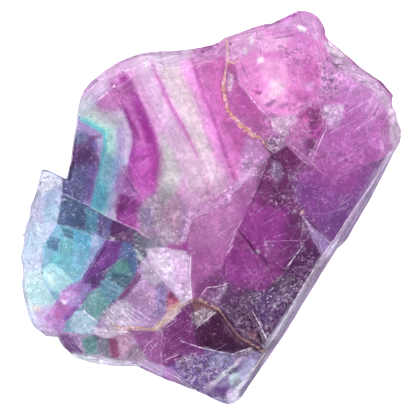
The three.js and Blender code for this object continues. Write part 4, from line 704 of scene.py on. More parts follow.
core east shade | 70286e | 0.85 | 1.5 | 0.3 | 15.7,-1.3 21.7,-2.5 21.7,-8.5 17.3,-10.9 14.9,-8.5
core east dust | 74386c | 0.7 | 1 | 0.6 | 14.1,3.1 17.3,1.5 18.9,-1.7 21.7,-5.7 19.7,-6.5 16.1,-1.3
plum wedge | 5c1a60 | 0.85 | 0.8 | 0.35 | 17.7,-7.7 22.5,-8.9 22.1,-12.5 18.1,-15.3 14.1,-12.5
lilac gusset | 9c80b4 | 0.85 | 0.25 | 0.35 | 18.5,-1.7 20.5,-4.1 24.3,-7.3 22.7,-10.1 20.5,-6.5
gold dot | fce0b0 | 0.9 | 0.12 | 0.2 | 18.1,-0.7 18.7,-0.5 18.7,-1.3 18.1,-1.3
violet of the plain | 944c9c | 0.8 | 2 | 0.25 | 18.1,5.1 27.1,6.3 27.1,0.3 21.7,-3.7 18.9,-1.3
violet by the long edge | 7e4e8c | 0.7 | 1.2 | 0.45 | 21.7,-3.7 27.3,0.7 26.9,-3.7 24.1,-7.3
foot violet | 745898 | 0.8 | 0.9 | 0.85 | -7.9,-31.7 -2.7,-29.3 4.5,-28.9 3.3,-32.9 -0.7,-36.9
    -5.5,-35.3
foot white | 88728f | 0.7 | 0.6 | 0.9 | -6.7,-30.5 -3.5,-29.3 -2.7,-31.3 -5.5,-32.9
blue of the foot tip | a0a4c2 | 0.75 | 0.4 | 0.6 | 0.1,-29.7 2.5,-28.9 4.9,-29.7 3.3,-31.3 0.9,-32.5
    -0.3,-31.7
tip violet | 8c80ae | 0.85 | 0.5 | 0.4 | -0.7,-36.1 3.3,-30.9 8.1,-28.5 10.5,-28.9 6.1,-35.7 3.3,-37.7
tip white stripe | e8f0ec | 0.8 | 0.12 | 0.3 | -0.7,-36.3 0.9,-34.5 2.5,-32.9 4.5,-31.5 5.7,-30.9
    5.9,-31.3 4.5,-32.5 2.5,-34.1 0.9,-35.9
tip mint | c2dcd8 | 0.9 | 0.2 | 0.3 | 3.7,-33.3 5.7,-32.9 6.5,-33.7 5.7,-34.5 4.1,-35.7
tip ice | f0f6f6 | 0.95 | 0.2 | 0.3 | 5.3,-35.9 7.3,-33.7 8.9,-31.3 9.5,-31.1 8.5,-33.7 6.5,-36.5
    4.7,-37.3
tip plum | 70488c | 0.85 | 0.3 | 0.3 | -0.7,-36.7 1.7,-35.3 3.7,-36.1 3.7,-37.3 2.1,-38.3 -0.3,-37.9
tip dark stripe | 30204c | 0.8 | 0.12 | 0.3 | 3.7,-32.7 4.5,-32.1 5.7,-31.7 5.3,-32.9 4.1,-33.5
tip second dark | a8a0c8 | 0.85 | 0.15 | 0.25 | 5.7,-31.7 6.1,-30.7 7.5,-29.9 8.1,-30.5 6.9,-31.7
tip third dark | a89ac2 | 0.8 | 0.2 | 0.3 | 1.3,-35.7 2.5,-34.1 3.9,-33.7 3.7,-35.7 2.5,-36.1
tip lilac pink | ecd8e6 | 0.9 | 0.15 | 0.3 | 4.9,-30.9 5.7,-29.9 6.7,-29.7 6.1,-30.9 5.3,-31.7
tip stripe foot | d4c0d8 | 0.75 | 0.2 | 0.5 | -1.1,-35.9 0.3,-34.5 1.3,-34.9 -0.1,-36.7
tip shards | 827688 | 0.75 | 0.15 | 0.9 | 5.3,-28.9 7.3,-28.1 8.5,-27.7 9.3,-28.5 8.1,-29.3 6.5,-29.7
    5.7,-30.1
tip pale stripe | c8cce6 | 0.85 | 0.2 | 0.3 | 5.9,-32.7 7.3,-30.9 8.5,-30.1 9.3,-30.9 8.1,-32.7
    6.5,-34.7 5.9,-34.3
tip green shade | 8c9894 | 0.7 | 0.15 | 0.6 | 4.5,-35.7 4.9,-34.5 6.1,-33.9 6.5,-34.7 5.7,-35.7
tip deep plum | 5c2870 | 0.8 | 0.15 | 0.2 | 1.9,-37.9 2.9,-36.7 3.9,-36.5 3.7,-37.7 2.7,-38.3
tip pink spot | e4ccec | 0.85 | 0.2 | 0.2 | 3.3,-37.1 4.1,-36.1 4.9,-36.5 4.3,-37.9 3.5,-38.1
tip white | e0e0ec | 0.85 | 0.4 | 0.35 | 3.7,-38.3 5.3,-36.1 7.5,-35.1 8.1,-36.5 6.1,-39.3 3.7,-39.5
crown lilac | cc9ccc | 0.8 | 1 | 0.4 | 10.5,36.3 14.1,39.5 22.1,39.5 24.1,35.5 18.1,31.5 16.9,35.1
    13.7,34.7
crown glint | f8f8f4 | 0.95 | 0.2 | 0.4 | 17.3,36.1 18.1,36.3 19.5,35.5 18.9,34.9 17.7,35.3
crown glint below | f0dcec | 0.9 | 0.2 | 0.4 | 20.5,34.5 21.3,34.3 21.5,33.5 20.7,33.7
crown rose | dc8ccb | 0.7 | 0.6 | 0.15 | 16.9,34.9 18.1,34.5 22.1,32.7 22.5,31.1 19.7,32.3 17.7,33.1
pale prism | ffffff | 0.95 | 0.4 | 0.4 | 22.7,33.1 23.7,33.1 27.3,30.3 26.9,28.7 24.1,30.7
west shelf of the lump | d0aacb | 0.8 | 0.7 | 0.5 | 3.3,34.3 8.1,35.9 10.5,35.5 10.1,31.1 7.3,30.7
    5.7,29.1 3.3,29.1
shelf chip | dce2da | 0.85 | 0.25 | 0.6 | 6.7,31.9 7.5,31.5 7.5,30.3 6.7,30.7
shelf chip above | e2e2e2 | 0.8 | 0.25 | 0.6 | 7.9,34.3 8.7,34.3 8.7,32.3 7.9,32.5
pale block of the lump | e0bcd8 | 0.85 | 0.25 | 0.15 | 10.5,34.1 16.1,34.3 15.3,32.3 14.9,31.1 10.5,30.9
magenta band of the lump | da96cb | 0.8 | 0.3 | 0.12 | 10.5,30.7 14.3,30.9 14.3,29.3 12.1,29.5 10.5,29.9
rose west of the lump | dc9ccc | 0.8 | 0.7 | 0.12 | 6.5,29.1 9.3,30.3 9.7,27.5 10.5,24.7 9.3,23.5
    7.3,25.5
glow of the lump | e6bad8 | 0.85 | 0.6 | 0.15 | 9.3,29.5 11.7,29.3 14.9,29.1 16.1,24.7 14.9,20.7
    11.7,19.5 9.3,21.5 11.3,24.3 10.1,27.1
white of the lump | f2e2e8 | 0.85 | 0.5 | 0.2 | 12.1,25.1 13.9,25.5 14.9,23.9 13.3,21.9 11.7,21.9
    12.5,23.5
first spark of the lump | ffffff | 0.9 | 0.3 | 0.1 | 9.5,29.5 10.3,30.1 10.9,29.5 10.5,28.7 9.5,28.7
magenta fleck of the lump | ae4092 | 0.85 | 0.2 | 0.2 | 8.5,23.3 10.5,23.1 10.1,22.3 9.1,22.5
violet fleck of the lump | 905e98 | 0.85 | 0.25 | 0.2 | 11.1,20.7 12.9,21.5 13.1,21.1 11.9,19.9
    10.9,20.1
violet of the lump foot | aa6cb0 | 0.75 | 0.3 | 0.2 | 13.9,20.3 16.1,20.9 16.1,20.5 14.3,19.5
pink foot of the lump | e4a2d3 | 0.8 | 0.5 | 0.25 | 13.3,19.1 15.7,20.7 18.1,20.3 17.3,17.9 13.7,17.9
rose of the lump | ce88bf | 0.75 | 1.2 | 0.25 | 16.1,29.5 21.7,29.5 22.1,23.9 18.9,20.7 16.1,20.7
deep rose of the lump | b462a2 | 0.7 | 0.7 | 0.25 | 17.3,23.1 20.1,23.1 21.3,24.7 21.7,23.1 19.3,20.7
    17.3,21.1
magenta east of the lump | c26eb0 | 0.7 | 0.7 | 0.25 | 18.5,29.1 21.7,28.3 21.9,25.9 19.7,24.7 18.5,26.3
lilac glint of the lump | d4aad4 | 0.75 | 0.3 | 0.4 | 18.7,24.7 20.9,25.1 20.5,23.1 18.9,23.5
rose south of the lump | de94cb | 0.8 | 0.6 | 0.15 | 6.5,24.3 8.1,23.5 10.9,19.9 10.5,18.7 8.1,21.5
flank deep | b25aa2 | 0.7 | 0.8 | 0.15 | 5.3,24.3 7.3,23.1 9.7,19.5 8.1,18.3 5.3,19.1
pale foot of the lump | d0c0ce | 0.85 | 0.4 | 0.7 | 12.1,17.7 17.3,18.5 17.5,15.9 14.9,13.9 12.5,15.5
mauve under the seam | b068a0 | 0.75 | 0.7 | 0.4 | 7.3,18.7 11.3,18.3 12.3,15.1 10.5,14.3 8.1,16.3
sooty patch | b09cb0 | 0.85 | 0.3 | 0.9 | 10.9,13.5 14.9,14.3 15.3,12.1 12.5,10.7 11.3,11.5
dark quad | 762c68 | 0.9 | 0.2 | 0.2 | 12.5,10.3 15.5,12.3 17.5,9.5 18.9,8.3 16.5,8.3 14.1,8.9
quad shade | 66235d | 0.8 | 0.5 | 0.3 | 16.1,8.7 18.7,8.7 20.5,7.5 18.5,7.1
toe rose | c07ab0 | 0.8 | 0.6 | 0.35 | 15.7,15.5 17.7,17.5 19.3,18.3 20.1,15.9 19.3,13.5 16.5,13.1
toe magenta | a83c8a | 0.85 | 0.3 | 0.15 | 17.5,17.9 19.7,19.5 20.1,18.3 18.5,17.5
toe bright | dc78b8 | 0.8 | 0.3 | 0.1 | 18.9,17.9 19.7,17.9 19.7,16.9 18.9,16.9
toe shadow | 923680 | 0.8 | 0.7 | 0.3 | 19.3,19.9 22.1,20.1 22.5,16.7 20.5,15.1 19.5,17.5
toe magenta south | ac3c9c | 0.8 | 0.5 | 0.15 | 20.1,15.9 22.5,16.3 22.5,14.7 21.7,13.5 20.1,13.9
toe lilac | b478b0 | 0.75 | 0.6 | 0.35 | 16.1,13.1 19.3,13.9 21.3,11.5 19.7,9.5 17.7,10.3
toe crease | 6c0060 | 0.7 | 0.5 | 0.3 | 18.9,13.5 20.9,13.9 21.1,11.5 19.3,10.3
north-east frost | c4acc8 | 0.85 | 0.4 | 0.9 | 23.3,20.3 26.9,20.7 26.5,17.9 25.3,15.1 23.7,15.9
    22.5,18.7
north-east chip | f0e8f0 | 0.85 | 0.2 | 0.6 | 22.7,20.3 23.9,19.7 23.5,18.9 22.7,19.3
north-east mottle | c494c0 | 0.85 | 0.8 | 0.7 | 22.1,29.1 26.9,29.1 28.5,27.1 26.1,21.9 22.5,21.5
    22.1,24.7
upper plain | cc9acb | 0.75 | 1.6 | 0.3 | 26.1,28.3 28.5,27.9 35.7,22.3 36.1,19.1 32.5,17.9 27.3,20.7
    26.5,24.7
middle plain | b874b4 | 0.6 | 1.8 | 0.2 | 24.1,15.1 34.1,19.5 35.3,13.5 28.1,9.5 21.7,9.9
north-east rim | cfbace | 0.85 | 0.6 | 0.6 | 24.1,31.1 27.1,29.9 30.5,27.9 35.1,23.9 36.9,19.9 35.3,19.5
    32.5,23.1 28.1,26.3 24.5,28.3
east rim | cdbccd | 0.9 | 0.5 | 0.6 | 35.7,19.9 38.9,19.1 38.9,13.1 36.9,11.1 35.9,14.3
lower plain | b464ac | 0.7 | 2 | 0.2 | 18.7,8.9 25.1,9.5 33.7,11.5 28.5,2.3 18.1,5.9
long edge | ac9aba | 0.9 | 0.3 | 0.35 | 36.1,11.1 38.9,13.5 37.7,10.3 18.1,-20.9 6.5,-38.5 6.1,-36.9
    15.5,-22.9 29.3,-0.5
long edge light | dcd6e0 | 0.5 | 0.15 | 0.4 | 35.9,11.3 36.3,10.9 28.7,-1.7 25.9,-6.1 22.5,-10.9
    18.1,-17.9 15.5,-22.3 11.3,-28.9 10.9,-28.5 15.1,-21.9 17.7,-17.7 22.1,-10.5 25.5,-5.7 28.3,-1.3
white sliver of the edge | e6e4f2 | 0.85 | 0.15 | 0.3 | 23.7,-8.9 24.5,-7.7 25.5,-6.3 25.9,-6.1
    25.5,-7.3 24.7,-8.9 23.9,-9.9 23.3,-10.3
lavender of the edge | bea8cc | 0.75 | 0.3 | 0.35 | 38.3,11.1 38.9,12.3 38.5,9.9 28.5,-7.3 23.3,-14.9
    18.9,-21.7 14.1,-28.5 13.3,-28.1 18.1,-20.9 22.5,-14.1 27.7,-6.5
foot of the long edge | a498b8 | 0.85 | 0.4 | 0.4 | 10.5,-29.3 11.7,-28.5 6.9,-37.3 5.3,-38.1
cool streak of the edge | bec1cd | 0.85 | 0.3 | 0.3 | 19.3,-15.7 19.7,-17.3 17.5,-20.3 15.1,-23.5
    12.7,-26.7 11.1,-28.3 10.5,-27.7 12.5,-24.9 14.9,-21.3 17.3,-18.1
grey heel of the edge | 8c8698 | 0.8 | 0.4 | 0.4 | 10.5,-28.5 12.5,-26.9 14.5,-24.9 12.1,-28.9 9.7,-32.3
    8.3,-33.7 9.3,-30.9
violet foot of the edge | 5e4c80 | 0.75 | 0.3 | 0.3 | 9.3,-32.1 10.7,-31.3 8.3,-36.1 6.1,-38.3 5.9,-37.3
    8.1,-33.7
shade of the long edge | 8a7a9c | 0.7 | 0.2 | 0.4 | 36.9,10.7 37.5,10.3 29.5,-2.3 26.3,-7.9 22.7,-12.7
    18.7,-18.9 16.3,-22.9 11.9,-29.5 11.3,-29.1 15.7,-22.5 18.1,-18.3 22.1,-11.9 25.7,-7.1 28.9,-1.7
"""

# %% Say which facet each fine triangle is on
TOP_LEAST = 0.12  # how much a normal rises at the least on the painted top
UNDER_MOST = -0.5  # and at the most on the underside

plan = spots[:, :2] + ORIGIN  # the drawing's own millimetres
middles = plan[fine].mean(1)
fine_normal = face_normal[fine_face]
on_top = fine_normal[:, 2] > TOP_LEAST
below = fine_normal[:, 2] < UNDER_MOST


def eased(x):
    x = np.clip(x, 0, 1)
    return x * x * (3 - 2 * x)


def within(outline, where):
    """True for each place inside an outline, by counting the edges that a ray crosses."""
    odd = np.zeros(len(where), bool)
    for (ax, ay), (bx, by) in zip(outline, np.roll(outline, -1, axis=0)):
        if ay != by:
            spans = (ay > where[:, 1]) != (by > where[:, 1])
            odd ^= spans & (where[:, 0] < (bx - ax) * (where[:, 1] - ay) / (by - ay) + ax)
    return odd


def outline_distance(outline, where):
    """How far each place is from an outline, negative inside."""
    best = np.full(len(where), np.inf)
    for a, b in zip(outline, np.roll(outline, -1, axis=0)):
        along = b - a
        t = np.clip(((where - a) @ along) / max(along @ along, 1e-12), 0, 1)
        best = np.minimum(best, np.hypot(*(where - a - t[:, None] * along).T))
    return np.where(within(outline, where), -best, best)


facet_names = list(FACETS)
outlines = [np.array([NET[corner] for corner in FACETS[name].split()]) for name in facet_names]
facet_at = np.argmin([outline_distance(outline, middles) for outline in outlines], axis=0)
print(on_top.sum(), "fine triangles on top,", below.sum(), "below")

# %% [markdown]
# ## The rim
#
# The solid has steep faces of two kinds. The broken walls round the slab are frosted and pale. The
# little cliffs between facets are clear, and keep the colour of the facet they belong to. What tells
# them apart is the silhouette: the edges where a face that looks up meets one that looks down. A
# wall lies within a few millimetres of it, and a cliff inside the slab doesn't.

# %% Measure how near the rim each point is
RIM_WIDTH = 6.0  # mm of the slab that counts as rim
RIM_SOFTNESS = 1.5
EDGE_STEP = 0.15  # mm between the points that stand for an edge
UPRIGHT = -0.05  # a wall whose normal dips by less still counts as looking up


def edge_points(chosen):
    """Points every so often along the chosen edges of the solid."""
    found = []
    for a, b in edges[chosen]:
        steps = max(1, round(np.linalg.norm(corners[a] - corners[b]) / EDGE_STEP))
        share = np.linspace(0, 1, steps + 1)[:, None]
        found.append(corners[a] * (1 - share) + corners[b] * share)
    return np.concatenate(found)


def distance_to(targets, where):
    tree = KDTree(len(targets))
    for i, spot in enumerate(targets):
        tree.insert(spot, i)
    tree.balance()
    return np.array([tree.find(spot)[2] for spot in where])


IN_PLAN = (1, 1, 0)  # leaves out the height
looks_up = face_normal[face_of[sides], 2] > UPRIGHT
silhouette = edge_points(looks_up[:, 0] != looks_up[:, 1])
inland = distance_to(silhouette * IN_PLAN, spots * IN_PLAN)
at_rim = eased((RIM_WIDTH - inland) / RIM_SOFTNESS)
print((at_rim > 0).sum(), "points within", RIM_WIDTH, "mm of the silhouette")

# %% [markdown]
# ## Tints
#
# Colours are written as six-figure names, two figures each for red, green and blue. A facet has its
# tint and its frost, from 0 for glass to 1 for a sugary break. A patch then covers part of it, and
# at the rim the walls are washed with a pale tint.

# %% Mix the tints
TINTS = {
    "banded_window": ("d8a4d6", 0.1),
    "corner_crystal": ("c8cfe6", 0.35),
    "blue_wedge": ("5c6a90", 0.35),
    "dark_hollow": ("5e5c74", 0.4),
    "cyan_block": ("88bccc", 0.25),
    "pale_shore": ("d0daec", 0.35),
    "purple_gully": ("9464ac", 0.2),
    "green_terrace": ("80a8b4", 0.25),
    "pale_terrace": ("b498be", 0.4),
    "frost_triangle": ("b8a0c2", 0.45),
    "mauve_slope": ("b074a8", 0.2),
    "bottom_strip": ("b09cb8", 0.35),
    "strip_sill": ("b29ab6", 0.5),
    "plum_slope": ("803880", 0.3),
    "deep_well": ("501a4e", 0.25),
    "frosted_foot": ("765c94", 0.8),
    "tip_prism": ("9c90b4", 0.5),
    "bright_gusset": ("6e346b", 0.35),
    "frosted_field": ("624068", 0.65),
    "magenta_core": ("904088", 0.2),
    "violet_plain": ("845094", 0.25),
    "lilac_gusset": ("8a749e", 0.3),
    "plum_wedge": ("703e78", 0.35),
    "long_sill": ("a898b8", 0.35),
    "right_plain": ("b876b4", 0.25),
    "pink_lump": ("dc9cd0", 0.25),
    "lump_flank": ("b870aa", 0.2),
    "lump_toe": ("b87cae", 0.45),
    "dark_quad": ("7c3474", 0.25),
}
WALL_TINT, WALL_FROST, WALL_SHARE = "e6dcec", 0.8, 0.35
UNDER_TINT, UNDER_FROST = "f6f3f8", 0.2


def mixed(code):
    """A colour's linear light from its usual six-figure name."""
    seen = np.array([int(code[i : i + 2], 16) for i in (0, 2, 4)]) / 255
    return np.where(seen <= 0.04045, seen / 12.92, ((seen + 0.055) / 1.055) ** 2.4)


def covering(where, outline, strength, softness):
    """The places that a soft-edged patch reaches, and how strongly it covers them."""
    low, high = outline.min(0) - softness, outline.max(0) + softness
    near = np.flatnonzero(((where > low) & (where < high)).all(1))
    edge = outline_distance(outline, where[near])
    return near, strength * eased(0.5 - edge / (2 * softness))[:, None]


def rows_of(table):
    """A table's rows, each as its fields and last its walk as an array of points."""
    for row in table.strip().replace("\n    ", " ").splitlines():
        *fields, walk = (field.strip() for field in row.split("|"))
        yield *fields, np.array([[float(n) for n in spot.split(",")] for spot in walk.split()])


corner_plan = plan[fine].reshape(-1, 2)
paint = np.array([[*mixed(TINTS[name][0]), 1, TINTS[name][1]] for name in facet_names])
paint[facet_names.index("banded_window"), :4] = 0  # the growth layers show through here
paint = np.repeat(paint[facet_at], 3, axis=0)  # red, green, blue, cover and frost
for name, code, strength, softness, frost, outline in rows_of(PATCHES):
    near, cover = covering(corner_plan, outline, float(strength), float(softness))
    paint[near] += ([*mixed(code), 1, float(frost)] - paint[near]) * cover
walls = np.repeat(~on_top & ~below, 3)
outer = at_rim[fine].reshape(-1, 1)[walls]
paint[walls, :4] += (1 - paint[walls, 3:4]) * outer * [*mixed(WALL_TINT), 1]  # no layers show here
paint[walls] += ([*mixed(WALL_TINT), 1, WALL_FROST] - paint[walls]) * outer * WALL_SHARE
paint[np.repeat(below, 3)] = [*mixed(UNDER_TINT), 1, UNDER_FROST]
print("tints on", len(paint), "triangle corners")

# %% [markdown]
# ## Soot
#
# Some places are peppered with dark specks: pits, and grains of other minerals that the crystal
# grew over. An outline says where they are, and how thick they lie.

# %% List the sooty places
SOOT = """
sooty patch | 1 | 0.5 | 10.5,13.9 15.1,14.7 15.5,11.9 12.5,10.3 10.9,11.5
lump rows | 0.7 | 0.8 | 13.7,32.3 17.3,31.9 21.7,29.5 21.7,27.5 18.9,28.7 16.1,27.9 14.1,29.9
lump foot | 0.7 | 0.6 | 14.9,20.7 18.5,20.7 18.1,18.7 15.3,17.9
toe | 0.6 | 0.8 | 18.9,19.9 22.5,20.3 22.9,15.1 19.7,13.5 18.1,14.3 19.3,17.5
north-east mottle | 0.8 | 0.8 | 22.5,29.5 27.3,29.9 28.1,27.1 25.7,24.7 24.9,21.9 22.5,21.5
well silver | 0.8 | 0.4 | -3.5,-20.1 0.9,-20.5 -1.9,-23.7 -3.5,-23.3
deep well | 0.5 | 0.8 | -2.7,-24.1 0.9,-22.5 4.5,-28.5 -1.9,-27.7
field | 0.5 | 1 | 3.3,-15.3 18.1,-12.5 11.7,-26.1 8.1,-20.9 4.5,-20.5
core crumbs | 0.9 | 0.5 | 11.3,3.9 13.7,4.3 16.1,1.1 16.1,-1.7 13.7,-0.9 12.1,1.1
core east | 0.5 | 1 | 14.9,2.3 22.1,-6.5 21.3,-12.1 17.3,-9.7 16.1,-1.7
foot | 0.6 | 1 | -7.5,-31.7 3.3,-28.9 4.5,-33.7 -0.7,-36.9 -5.1,-35.3
mauve foot | 0.5 | 0.8 | 0.5,-10.9 4.5,-10.1 4.5,-15.3 -1.1,-15.3
gully dust | 0.4 | 0.5 | -23.5,-12.5 -20.3,-12.1 -21.9,-16.5 -24.7,-15.7
window heel | 0.3 | 0.8 | -14.7,0.3 -9.1,1.5 -4.7,-1.3 -5.1,-6.9 -11.9,-6.5
"""
soot = np.zeros(len(plan))
for name, strength, softness, outline in rows_of(SOOT):
    near, cover = covering(plan, outline, float(strength), float(softness))
    soot[near] = np.maximum(soot[near], cover[:, 0])
print("sooty points:", (soot > 0.1).sum())

# %% [markdown]
# ## Growth lines
#
# While the crystal grew, each layer took its colour from the brine of its day. The layers turn with
# the faces of the cube, so their edges on the break are nested chevrons. A few of them are drawn
# as lines, and every point between two of them gets a growth number between theirs. A colour ramp
# then reads that number, like reading the rings of a tree.

# %% Number the growth layers
GROWTH_LINES = [
    [(-31.0, 24.0), (-28.0, 16.0), (-25.5, 13.0), (-26.0, 5.0), (-29.0, -1.0)],
    [(-28.7, 20.5), (-25.5, 17.5), (-20.9, 14.9), (-20.9, 11.5), (-22.5, 4.5), (-23.3, -1.0)],
    [(-24.9, 20.9), (-21.9, 18.5), (-18.5, 16.3), (-18.3, 11.5), (-19.5, 4.5), (-20.3, -1.0)],
    [(-19.5, 24.5), (-16.9, 19.5), (-15.1, 14.9), (-15.1, 12.5), (-16.3, 7.5), (-18.3, -1.0)],
    [
        (-18.3, 29.5), (-15.7, 23.9), (-13.5, 19.5), (-11.5, 14.5), (-9.3, 9.5), (-6.3, 1.5),
        (-4.9, -2.5),
    ],
    [
        (-11.9, 30.5), (-10.3, 25.9), (-8.9, 22.7), (-7.7, 19.9), (-5.3, 15.9), (-2.7, 10.5),
        (0.5, 2.5), (1.9, -2),
    ],
    [
        (-4.7, 33.5), (-3.7, 29.9), (-2.5, 25.5), (-1.3, 22.5), (0.9, 17.1), (1.9, 13.5),
        (3.1, 9.5), (5.5, 3.5),
    ],
    [(1.1, 33.5), (2.9, 26.5), (3.9, 19.1), (7.5, 14.9), (10.5, 11.5), (13.5, 6.5)],
]


def side_distance(walk, where):
    """How far each place is from a line, negative to the left of it."""
    walk = np.array(walk, float)
    best, side = np.full(len(where), np.inf), np.ones(len(where))
    for a, b in zip(walk, walk[1:]):
        along = b - a
        off = where - a
        t = np.clip((off @ along) / (along @ along), 0, 1)
        far = np.hypot(*(off - t[:, None] * along).T)
        nearer = far < best - 1e-9
        best = np.where(nearer, far, best)
        cross = along[0] * off[:, 1] - along[1] * off[:, 0]
        side = np.where(nearer, np.where(cross > 0, 1.0, -1.0), side)
    return best * side


def growth_number(where):
    distances = np.stack([side_distance(line, where) for line in GROWTH_LINES])
    passed = np.clip((distances >= 0).sum(0) - 1, 0, len(GROWTH_LINES) - 2)
    column = np.arange(len(where))
    before, after = distances[passed, column], -distances[passed + 1, column]
    return np.clip(passed + before / np.maximum(before + after, 1e-6), 0, len(GROWTH_LINES) - 1)


growth = growth_number(plan)
print("growth numbers run to", growth.max())

# %% [markdown]
# ## Drawn lines
#
# Cracks, bright edges, hairlines and seams of clay and silt are lines, and so are some painted
# shadows along steps and rims and some painted highlights along ridges. A row names the line's family
# and gives its walk, and each spot on the walk has a half-width, so that a line can swell and taper.
# Each family is kept as two numbers on every point. One is the distance to the nearest line counted
# in half-widths, with a sign for its side, so that it passes through nought exactly on the line. The
# other is the plain distance, which tells a true crossing from a place where the nearest line changes.

